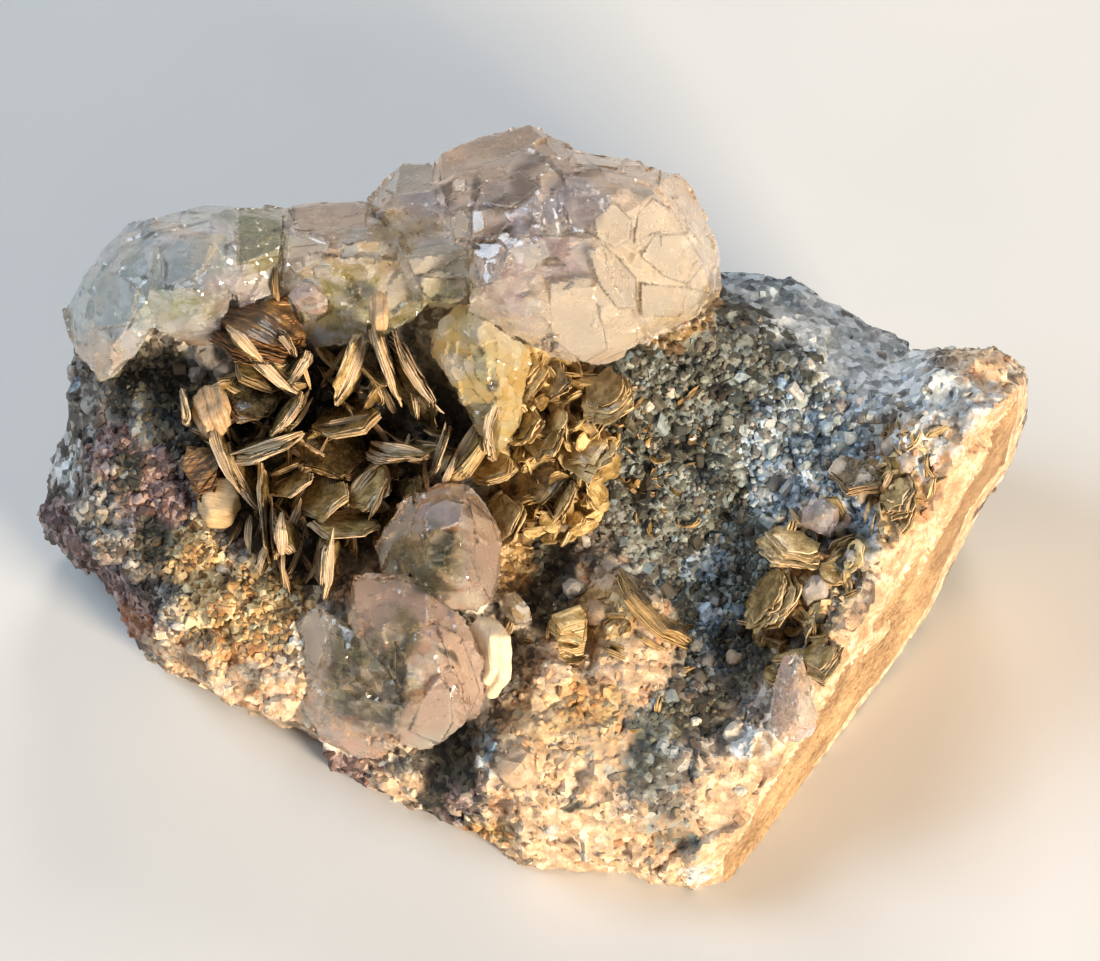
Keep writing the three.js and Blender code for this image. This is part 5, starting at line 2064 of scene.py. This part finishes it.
@dataclass
class BladeField:
    """Thin blades of mica that stand between the books: thin stacks of two or three leaves.

    Attributes:
        name: The piece's name.
        patch: Where they stand.
        count: How many there are.
        lengths: Shortest and longest.
        thickness: Thinnest and thickest.
        breadth: Narrowest and widest, into the rock.
        lift: Lowest and highest place of their upper edge above the rock.
        heading: Mean direction along the face in degrees, and how far it may differ.
        open_turn: Most that a blade turns from edge on to face on, in degrees.
        tone: Darkest and brightest.
        warm: Least and most golden.
        seed: Starts its draws.
        loose: How ragged their leaves are.
    """

    name: str
    patch: Patch
    count: int
    lengths: Span
    thickness: Span
    breadth: Span
    lift: Span
    heading: Span
    open_turn: float
    tone: Span
    warm: Span
    seed: int
    loose: float = 0.3

    def blade(self, chance: random.Random, rock: Piece) -> Form | None:
        """One blade, placed over the rock, or none where there is no rock below.

        Args:
            chance: Draws its size and place.
            rock: The finished rock.

        Returns:
            The blade, or None.
        """
        turn = math.radians(self.patch.turn)
        angle, share = chance.uniform(0, 2 * math.pi), math.sqrt(chance.random())
        right = self.patch.reach[0] * share * math.cos(angle)
        up = self.patch.reach[1] * share * math.sin(angle)
        middle = FACE.flat(self.patch.x, self.patch.y)
        place = (
            middle[0] + right * math.cos(turn) - up * math.sin(turn),
            middle[1] + right * math.sin(turn) + up * math.cos(turn),
        )
        hit, ground, _, _ = rock.ray_cast(FACE.point(*place, RAY_START), -OUTWARD)
        length, thick, broad = (
            chance.uniform(*span) * MM for span in (self.lengths, self.thickness, self.breadth)
        )
        lift = chance.uniform(*self.lift) * MM
        heading = math.radians(self.heading[0] + self.heading[1] * chance.uniform(-1, 1))
        opened = math.radians(self.open_turn * chance.uniform(-1, 1))
        rise = chance.uniform(-0.35, 0.35)
        if not hit:
            return None
        form = spindle(chance, length, thick, broad)
        along = FACE.direction(math.cos(heading), math.sin(heading), rise)
        stand(form, along, opened, ground + OUTWARD * (lift - broad / 2))
        return form

    def build(self, rock: Piece, finishes: tuple[Material, ...]) -> Piece:
        """Builds all the blades as one piece.

        Args:
            rock: The finished rock.
            finishes: The materials of leaves and of edges.

        Returns:
            The blades as one piece.
        """
        chance = random.Random(self.seed)
        whole = bmesh.new()
        for index in range(self.count):
            block = self.blade(chance, rock)
            look = BookLook(
                chance.uniform(*self.tone), chance.uniform(*self.warm), chance.uniform(0, 4), 0.25, self.loose
            )
            if block is None:
                continue
            book = MicaBook("blade", look, self.seed * 100 + index, fewest=2)
            absorb(whole, book.leaves(block))
        return leafy_piece(self.name, whole, finishes)


@dataclass
class Mica:
    """All the books of mica, and the thin blades that fill the nest between them."""

    looks: dict[int, BookLook] = field(
        default_factory=lambda: {
            1: BookLook(0.32, 0.6, 3, -1.2, 0.2, 0.0, MicaKind.RUSSET, (0.15, 1, 0.2), 1.0, pinch=0.2),
            8: BookLook(0.46, 0.15, stacked=(1, 0.3, 0), rounded=True, ridged=0.6, full=0.3),
            12: BookLook(0.1, 0.5),
            13: BookLook(0.85, 0.0),
            15: BookLook(0.7, 0.8),
            17: BookLook(0.7, 0.9),
            18: BookLook(0.9, 0.3),
            25: BookLook(0.66, 0.45, stacked=(0.2, 1, 0), rounded=True, ridged=0.12, full=0.2),
            26: BookLook(0.45, 0.5, 3, -1.6, 0.2, 0.0, MicaKind.RUSSET, (-0.3, 1, 0.3), 0.8, pinch=0.2),
            28: BookLook(0.05, 0.6),
            29: BookLook(0.15, 0.6),
            30: BookLook(0.1, 0.6),
            32: BookLook(0.48, 0.2, stacked=(1, 0, 0), rounded=True, ridged=0.5, full=-0.1),
            41: BookLook(0.1, 0.9),
            44: BookLook(1.0, 0.15, stacked=(1, 0.1, 0.3), rounded=True, ridged=0.06, full=0.15, smoothing=14),
            45: BookLook(0.3, 0.75, 1, 0.2, 0.25, 0.0),
            46: BookLook(0.75, 0.9, 4, -1.4, 0.6, 0.0, stacked=(-0.1, 1, 0.5), graded=0.6, pinch=0.2),
            50: BookLook(0.05, 0.3),
        }
    )
    blades: tuple[BladeField, ...] = (
        BladeField(
            "nest_blades", Patch(322, 442, (13, 10), -12), 84, (3.0, 7.0), (0.35, 0.8), (2.5, 4.5),
            (2.0, 5.6), (40, 90), 30, (0.3, 0.9), (0.2, 0.8), 61,
        ),
        BladeField(
            "nest_foot_blades", Patch(300, 540, (6, 4), 0), 24, (3.0, 6.5), (0.35, 0.9), (2.0, 3.5),
            (1.5, 4.5), (90, 35), 20, (0.45, 1.0), (0.0, 0.5), 67,
        ),
        BladeField(
            "middle_flakes", Patch(550, 440, (7, 11), 10), 92, (1.8, 4.6), (0.3, 1.0), (2.0, 4.0),
            (1.4, 4.2), (60, 70), 70, (0.5, 1.0), (0.6, 1.0), 71, 0.8,
        ),
        BladeField(
            "strip_flakes", Patch(560, 440, (5.5, 9), 10), 70, (1.6, 3.8), (0.25, 0.7), (4.0, 6.0),
            (3.4, 6.0), (60, 80), 45, (0.6, 1.0), (0.7, 1.0), 101, 0.8,
        ),
        BladeField(
            "right_flakes", Patch(805, 590, (5, 10), -20), 40, (2.0, 4.5), (0.4, 1.0), (2.0, 3.5),
            (0.6, 2.2), (60, 90), 55, (0.4, 1.0), (0.4, 0.9), 73, 0.8,
        ),
        BladeField(
            "lower_flakes", Patch(620, 690, (12, 10), 0), 18, (1.6, 4.0), (0.3, 0.8), (1.4, 2.4),
            (0.2, 0.9), (0, 90), 60, (0.1, 0.7), (0.5, 1.0), 79, 0.7,
        ),
        BladeField(
            "crust_flakes", Patch(665, 455, (6, 9), 15), 46, (1.0, 2.6), (0.2, 0.5), (1.4, 2.2),
            (0.3, 0.9), (60, 90), 60, (0.1, 0.6), (0.3, 0.8), 89, 0.8,
        ),
        BladeField(
            "rim_flakes", Patch(905, 480, (3, 9), -30), 26, (1.6, 4.0), (0.3, 0.8), (1.4, 2.4),
            (0.2, 1.2), (60, 90), 60, (0.5, 1.0), (0.3, 0.9), 83, 0.8,
        ),
    )

    def finishes(self) -> dict[MicaKind, tuple[Material, ...]]:
        """The finishes of leaf and edge for each kind of mica.

        Returns:
            The finished materials by kind.
        """
        russet_leaf: Tones = ((0.020, 0.010, 0.003), (0.13, 0.062, 0.018), (0.50, 0.27, 0.085))
        russet_edge = ((0.016, 0.007, 0.002), (0.14, 0.058, 0.016), (0.52, 0.23, 0.065), (0.74, 0.50, 0.24))
        plain = (
            LeafFinish("mica_leaf"), EdgeFinish("mica_edge"), EdgeFinish("mica_cap", lined=0.4, depth=0.03, even=0.7)
        )
        russet = (
            LeafFinish("russet_leaf", russet_leaf, russet_leaf, (0.45, 0.7)),
            EdgeFinish("russet_edge", russet_edge, russet_edge),
        )
        return {
            MicaKind.PLAIN: tuple(finish.material() for finish in plain),
            MicaKind.RUSSET: tuple(finish.material() for finish in russet),
        }

    def build(self, rock: Piece) -> None:
        """Builds every book and blade.

        Args:
            rock: The finished rock.
        """
        finishes = self.finishes()
        nodes = sorted(name for name in frame["nodes"] if name.startswith("mica_book_"))
        chance = random.Random(5)
        for node in nodes:
            number = int(node[-2:])
            nest = number < 35
            warm = chance.uniform(0.0, 0.4) if nest else chance.uniform(0.4, 0.9)
            drawn = BookLook(
                chance.uniform(0.4, 0.9), warm, chance.uniform(0, 4), chance.uniform(0.0, 0.3), 0.3 if nest else 1.0
            )
            if number > 46:
                drawn = replace(drawn, warm=0.55 * drawn.warm)
            look = self.looks.get(number, drawn)
            book = MicaBook(f"mica_leaves_{number:02d}", look, number)
            book.build(node, finishes[look.kind])
        ShownBlades().build(finishes[MicaKind.PLAIN])
        for blades in self.blades:
            blades.build(rock, finishes[MicaKind.PLAIN])


# Camera, light and floor


@dataclass
class Studio:
    """The camera at the photograph's angle, soft studio light and a plain pale floor."""

    distance: float = 1.1
    frame_width: float = 1100 / (1018 / 110) * MM
    sensor: float = 36
    elevation: float = math.radians(55)
    target: Span = (550, 480.5)
    lights: tuple[tuple[str, tuple, float, float, Colour], ...] = (
        ("key_light", (0.80, -1.00, 0.38), 0.34, 42.0, (1.0, 0.83, 0.62)),
        ("fill_light", (-0.76, 0.09, 0.90), 0.60, 10.0, (0.74, 0.87, 1.0)),
        ("back_light", (0.18, 0.90, 0.72), 0.40, 5.5, (1.0, 0.93, 0.86)),
    )
    aim: Vector = field(default_factory=lambda: Vector((0, 0, 0.025)))
    sky: tuple[Colour, float] = ((0.86, 0.90, 1.0), 0.15)

    def build(self) -> None:
        """Builds the camera, the lights, the world and the floor."""
        self.camera()
        for light in self.lights:
            self.area(*light)
        self.world()
        self.floor()
        bpy.context.scene.view_settings.view_transform = "Standard"

    def camera(self) -> None:
        """Adds the camera, far enough away to see the specimen as flat as the photograph does."""
        data = bpy.data.cameras.new("camera")
        data.sensor_width = self.sensor
        data.lens = self.sensor * self.distance / self.frame_width
        data.clip_start = 0.01
        made = bpy.data.objects.new("camera", data)
        made.location = FACE.at(*self.target) + OUTWARD * self.distance
        made.rotation_euler = (math.pi / 2 - self.elevation, 0, 0)
        bpy.context.scene.collection.objects.link(made)
        bpy.context.scene.camera = made

    def area(self, name: str, place: tuple, size: float, power: float, colour: Colour) -> None:
        """Adds a soft square light that faces the specimen.

        Args:
            name: The light's name.
            place: Where it stands, in metres.
            size: Its width in metres.
            power: Its power in watts.
            colour: Its colour.
        """
        data = bpy.data.lights.new(name, "AREA")
        data.size = size
        data.energy = power
        data.color = colour
        made = bpy.data.objects.new(name, data)
        made.location = place
        aim = self.aim - Vector(place)
        made.rotation_euler = aim.to_track_quat("-Z", "Y").to_euler()
        bpy.context.scene.collection.objects.link(made)

    def world(self) -> None:
        """Sets the pale surroundings."""
        world = bpy.data.worlds.new("studio")
        world.use_nodes = True
        background = world.node_tree.nodes["Background"]
        background.inputs["Color"].default_value = (*self.sky[0], 1)
        background.inputs["Strength"].default_value = self.sky[1]
        bpy.context.scene.world = world

    def floor(self) -> None:
        """Adds the floor that the specimen stands on."""
        form = bmesh.new()
        bmesh.ops.create_grid(form, x_segments=1, y_segments=1, size=3)
        made = new_object("floor", form)
        surface = Surface("floor_paint")
        tone = surface.fit(surface.noise(surface.place(), 40, detail=2), 0.3, 0.7)
        colour = surface.blend(tone, (0.60, 0.60, 0.59), (0.64, 0.63, 0.62))
        made.data.materials.append(surface.finish({"Base Color": colour, "Roughness": 0.8}))


def scatters() -> tuple[Scatter, ...]:
    """The grains that lie on the rock.

    Returns:
        One maker for each kind of grain.
    """
    grain = RockFinish("loose_grain", by_piece=True, lively=0.36, soot=0.3)
    chip = RockFinish("bedded_chip", by_piece=True, lively=0.22)
    return (
        Scatter(
            "crust_grains", Mineral.GRAINS, (Grain.crumb, Grain.point, Grain.crumb, Grain.block), 0.50,
            (0.5, 1.15), 0.9, 0.12, grain, 11,
        ),
        Scatter(
            "crust_lumps", Mineral.GRAINS, (Grain.crumb, Grain.block, Grain.crumb), 1.15, (1.0, 2.1), 0.9,
            0.25, grain, 17,
        ),
        Scatter(
            "gold_gravel", Mineral.GOLD, (Grain.crumb, Grain.block, Grain.crumb, Grain.flake), 0.75,
            (0.5, 1.3), 0.9, 0.12, grain, 37,
        ),
        Scatter(
            "left_gravel", Mineral.GRAVEL, (Grain.crumb, Grain.block), 0.62, (0.5, 1.3), 0.9, 0.12, grain, 29,
        ),
        Scatter(
            "open_crumbs", Mineral.OPEN, (Grain.crumb, Grain.block), 0.95, (0.5, 1.3), 0.9, 0.18, chip, 41,
        ),
        Scatter(
            "side_chips", Mineral.COVER, (Grain.crumb, Grain.block, Grain.crumb), 1.3, (0.8, 1.9), 0.5, 0.3,
            chip, 53,
        ),
    )


def back_plates() -> tuple[Plate, ...]:
    """The growth faces of the crystals along the upper edge, from left to right.

    Returns:
        The faces, which may overlap.
    """
    frost, blush, moss, sky = Mineral.FROST, Mineral.BLUSH, Mineral.MOSS, Mineral.SKY
    return (
        Plate((162, 254, 180, 240, 215, 246, 204, 272, 165, 290), 0.2, sky, 0.08),
        Plate((91, 281, 112, 270, 140, 290, 132, 326, 95, 328), 0.1, sky, 0.05),
        Plate((239, 212, 283, 219, 280, 256, 238, 266), -0.1, moss, 0.12),
        Plate((287, 205, 354, 200, 367, 212, 365, 228, 298, 231), 0.15, blush, 0.1, (0, 0.1)),
        Plate((286, 235, 324, 236, 332, 246, 316, 264, 296, 275, 283, 257), 0.2, seam=0.1, slope=(0.1, 0.2)),
        Plate((343, 243, 363, 243, 357, 257, 341, 260), 0.1, frost, 0.05, (0, 0.15)),
        Plate((313, 267, 335, 266, 332, 279, 316, 279), 0.1, seam=0.08),
        Plate((408, 260, 471, 253, 476, 263, 467, 279, 442, 272, 415, 277), 0.35, frost, 0.1, (0, 0.25)),
        Plate((420, 278, 466, 281, 472, 296, 434, 302, 423, 293), 0.1, moss, 0.12),
        Plate((386, 190, 400, 165, 435, 163, 431, 193, 395, 196), 0.4, frost, 0.1, (-0.35, 0.3)),
        Plate((474, 214, 500, 210, 510, 226, 498, 240, 472, 240), 0.1, blush, 0.08, (-0.3, 0.35)),
        Plate((470, 244, 500, 243, 511, 258, 500, 284, 474, 290, 466, 266), 0.1, seam=0.08, slope=(-0.3, 0.3)),
        Plate((439, 152, 486, 140, 532, 124, 552, 136, 520, 154, 466, 171, 441, 182),
              0.1, blush, 0.1, (0, 0.12)),
        Plate((546, 130, 574, 154, 563, 164, 546, 146), 0.0, blush, 0.06),
        Plate((576, 155, 612, 154, 655, 166, 640, 174, 606, 168, 577, 167), 0.0, seam=0.06),
        Plate((454, 183, 466, 181, 468, 192, 455, 195), 0.3, frost, 0.12),
        Plate((452, 222, 462, 210, 470, 222, 468, 241, 455, 240), 0.3, frost, 0.12),
        Plate((472, 212, 484, 214, 486, 232, 474, 238), 0.1, blush, 0.1),
        Plate((480, 186, 520, 172, 540, 190, 512, 212, 484, 206), -0.2, seam=0.12, slope=(0.05, -0.1)),
        Plate((537, 178, 560, 170, 566, 190, 545, 200), 0.1, blush, 0.1),
        Plate((594, 222, 612, 205, 631, 223, 629, 242, 614, 251, 596, 241), 0.35, frost, 0.17, (-0.12, 0.08)),
        Plate((588, 256, 601, 247, 614, 258, 635, 280, 636, 309, 617, 311, 597, 285),
              0.25, frost, 0.11, (0.10, -0.10)),
        Plate((637, 217, 652, 201, 672, 212, 682, 231, 653, 235, 633, 247), 0.15, blush, 0.08, (0.14, 0.12)),
        Plate((653, 238, 684, 235, 704, 264, 687, 285, 663, 278, 640, 258), 0.3, frost, 0.13, (-0.04, -0.12)),
        Plate((640, 286, 689, 288, 713, 294, 677, 317, 640, 318), 0.1, blush, 0.0),
        Plate((684, 222, 692, 220, 713, 240, 711, 250, 700, 243), 0.2, frost, 0.08),
        Plate((549, 286, 590, 280, 602, 328, 607, 350, 583, 364, 552, 340), 0.1, frost, 0.04),
        Plate((541, 342, 557, 336, 552, 354), 0.2, sky, 0.08),
        Plate((660, 170, 687, 182, 714, 232, 699, 240, 677, 205, 658, 188), 0.0, blush, 0.1),
    )


def front_plates() -> tuple[Plate, ...]:
    """The growth faces of the front pair of crystals.

    Returns:
        The faces, which may overlap.
    """
    frost, blush, smoke, sky = Mineral.FROST, Mineral.BLUSH, Mineral.SMOKE, Mineral.SKY
    return (
        Plate((428, 507, 447, 499, 464, 504, 462, 522, 440, 530, 425, 526), 0.1, sky, 0.05, (0, 0.1)),
        Plate((377, 543, 402, 493, 418, 500, 412, 530, 392, 545, 381, 570), 0.05, frost, 0.04),
        Plate((470, 500, 492, 520, 503, 560, 490, 600, 474, 566, 476, 530), 0.05, blush, 0.04),
        Plate((440, 672, 422, 700, 410, 730, 440, 744, 453, 722, 452, 690), 0.3, blush, 0.16, (0.05, 0)),
        Plate((352, 580, 395, 576, 430, 590, 438, 618, 400, 630, 358, 618), 0.05, blush, 0.03),
        Plate((438, 622, 462, 636, 480, 690, 468, 716, 456, 680), 0.1, blush, 0.06),
        Plate((303, 612, 318, 606, 328, 640, 318, 668, 298, 650), 0.3, frost, 0.04),
        Plate((330, 632, 343, 636, 349, 664, 336, 662), 0.2, blush, 0.06),
        Plate((396, 640, 408, 668, 404, 690, 396, 676), -0.6, smoke, 0.05),
    )


def crystals() -> tuple[Crystal, ...]:
    """The groups of fluorite crystals.

    Returns:
        One maker for each packed crystal solid.
    """
    clear = CrystalFinish("clear_fluorite", (0.93, 0.83, 0.70), 0.70, (0.95, 0.90, 0.82), 25)
    # The front pair's dark moss is painted shade, the dark seen through their clear middles.
    front = CrystalFinish(
        "front_fluorite", (0.93, 0.75, 0.61), 0.74, (0.94, 0.87, 0.80), 25, blush=(0.96, 0.72, 0.59),
        moss=(0.25, 0.25, 0.13), smoke=(0.07, 0.085, 0.07), sky=(0.88, 0.86, 0.95),
    # The front pair's pale lilac sky is a painted reflection, the glare on the upper crystal's top.
    )
    honey = CrystalFinish(
        "honey_fluorite", (0.97, 0.80, 0.48), 0.60, (0.93, 0.84, 0.60), 35, gold=(0.90, 0.70, 0.34), sparkle=0.4,
        moss=(0.66, 0.60, 0.34),
        play=((0.1, (0.90, 0.95, 0.94)), (0.4, (1.0, 0.98, 0.93)), (0.7, (1.0, 0.94, 0.82)), (0.9, (0.96, 0.92, 0.86))),
    )
    lilac = CrystalFinish("lilac_fluorite", (0.92, 0.84, 0.82), 0.66, (0.92, 0.90, 0.94), 25)
    pale = CrystalFinish("pale_fluorite", (0.93, 0.80, 0.64), 0.62, (0.94, 0.88, 0.78), 25)
    small = (Cleavage(2.2, 0.1, 0.06, 0.5, 8), Cleavage(1.0, 0.06, 0.03, 0.15, 9))
    knobbly = (Cleavage(2.0, 0.32, 0.2, 0.7, 8), Cleavage(0.9, 0.22, 0.08, 0.3, 9))
    return (
        Crystal(
            "fluorite_back", "fluorite_upper_edge", Slot.CLEAR, clear, voxel=0.28,
            tints=painted(
                blush=(
                    (500, 150, 9, 3, 12), (660, 260, 8, 10), (600, 345, 9, 3), (320, 212, 4, 2.5),
                    # (408, 180) is painted light: peach brightening on the peak's face, which turns away from the
                    # lamps.
                    (440, 175, 6, 3.5), (408, 180, 4, 3), (184, 232, 2.5, 1, -10), (100, 350, 3, 2),
                    (520, 185, 5, 2.5, 10), (600, 172, 8, 2.0, -5), (640, 185, 4, 2.5, -20),
                ),
                frost=(
                    (655, 260, 7, 7), (590, 325, 7, 4), (440, 262, 4, 1.6), (400, 290, 3, 1.6, 20),
                    (470, 310, 3, 2), (205, 250, 2, 1, 30), (556, 228, 1.2, 1.0, 20),
                ),
                moss=(
                    (258, 238, 3.2, 4, 0, 0.8), (350, 300, 6, 4, 0, 0.8), (400, 235, 4.5, 2, 0, 0.3),
                    (190, 310, 5, 2.5, 0, 0.6), (450, 290, 3, 2), (400, 320, 5, 3),
                ),
                smoke=(
                    (476, 198, 0.4, 2.2), (448, 190, 1.4, 0.8, 20), (540, 164, 1.5, 0.8),
                    (480, 237, 1.6, 1.0, 20), (500, 232, 1.4, 1.0), (560, 172, 1.2, 0.6, -50),
                    (508, 208, 2.2, 1.0, 15), (524, 184, 1.4, 1.8, 20), (460, 205, 1.8, 0.8),
                    (596, 178, 2.6, 0.4, -10), (233, 252, 1.6, 0.3, 35), (645, 195, 1.2, 0.6),
                    (550, 268, 0.8, 0.6), (160, 262, 0.3, 1.8, 10), (155, 234, 1.4, 0.25, 10),
                    (293, 215, 0.3, 2.0),
                ),
                sky=(
                    (115, 290, 7, 6), (175, 265, 7, 5), (180, 215, 9, 2.5, 5), (545, 208, 2.4, 1.2),
                    (112, 325, 3, 2.5), (570, 340, 1.5, 1.2),
                ),
                pearl=(
                    (520, 228, 5.5, 4, 20), (500, 275, 4, 4.5), (572, 205, 3, 3.2), (555, 262, 3.2, 2.6),
                    (430, 205, 3, 1.8), (515, 325, 3, 2, -20), (235, 300, 4, 3), (215, 335, 3, 1.6),
                ),
                gold=((708, 300, 1.6, 3), (660, 325, 4, 1, 20)),
            ),
            plates=back_plates(),
        ),
        Crystal(
            "fluorite_front", "fluorite_front_pair", Slot.CLEAR, front,
            tints=painted(
                blush=(
                    (420, 610, 6, 4), (465, 680, 2.5, 6), (490, 560, 2, 6), (345, 765, 5, 3), (385, 540, 2, 3),
                    (430, 730, 4, 3),
                ),
                # Painted shade: the dark middles seen through the clear crystals.
                moss=(
                    (425, 563, 4.2, 3.4), (372, 685, 4.6, 5.0), (408, 632, 1.6, 2.6), (352, 640, 2.0, 3.0, 20),
                ),
                frost=((315, 640, 2.0, 3.0), (440, 740, 3, 1.5), (395, 520, 1.5, 3, -30), (463, 600, 2, 1)),
                smoke=(
                    (402, 662, 0.6, 2.6), (432, 582, 2.2, 1.2), (443, 552, 1.4, 1.4), (394, 698, 1.6, 2.0),
                    (448, 655, 0.3, 1.6, 30), (481, 530, 0.4, 0.4), (486, 543, 0.4, 0.4),
                ),
                # Painted reflections: pale lilac glare patches.
                sky=((447, 514, 2.4, 1.7), (470, 590, 2, 1.5)),
            ),
            plates=front_plates(),
        ),
        Crystal(
            "fluorite_honey", "fluorite_honey_hanging", Slot.HONEY, honey, voxel=0.26,
            cleavages=(Cleavage(3.4, 0.14, 0.15, 0.9, 5), Cleavage(1.3, 0.10, 0.06, 0.3, 6)),
            tints=painted(
                gold=((490, 400, 4, 5), (440, 410, 2, 3), (462, 350, 2.5, 2)),
                moss=((475, 330, 3.5, 2.5), (490, 395, 1.5, 3)),
                sky=((436, 326, 2, 1.6, 30),),
                frost=((500, 325, 3, 2), (455, 372, 2, 1)),
                smoke=((478, 350, 0.8, 0.5), (500, 380, 0.7, 0.7)),
            ),
        ),
        Crystal("fluorite_lilac", "fluorite_lilac_small", Slot.LILAC, lilac, 0.25, cleavages=small),
        Crystal(
            "fluorite_purple", "fluorite_purple_small", Slot.LILAC, lilac, 0.25, cleavages=knobbly,
            tints=painted(
                sky=((797, 672, 1.6, 2),),
                frost=((800, 705, 1.4, 1.2),),
                blush=((782, 722, 1.2, 2), (800, 690, 1.4, 3)),
            ),
        ),
        Crystal("fluorite_pale", "fluorite_pale_small", Slot.LILAC, lilac, 0.25, cleavages=small),
        Crystal("fluorite_cube", "fluorite_cube_small", Slot.HONEY, pale, 0.25, cleavages=small),
    )


def main() -> None:
    """Builds the specimen piece by piece."""
    logging.basicConfig(level=logging.INFO, format="%(name)s: %(message)s")
    noise.seed_set(NOISE_SEED)  # without it, the clock seeds noise_vector
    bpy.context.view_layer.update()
    Studio().build()
    rock = Rock().build()
    for scatter in scatters():
        scatter.build(rock)
    Nodules().build(rock)
    for crystal in crystals():
        crystal.build()
    Mica().build(rock)


if __name__ == "__main__":
    main()
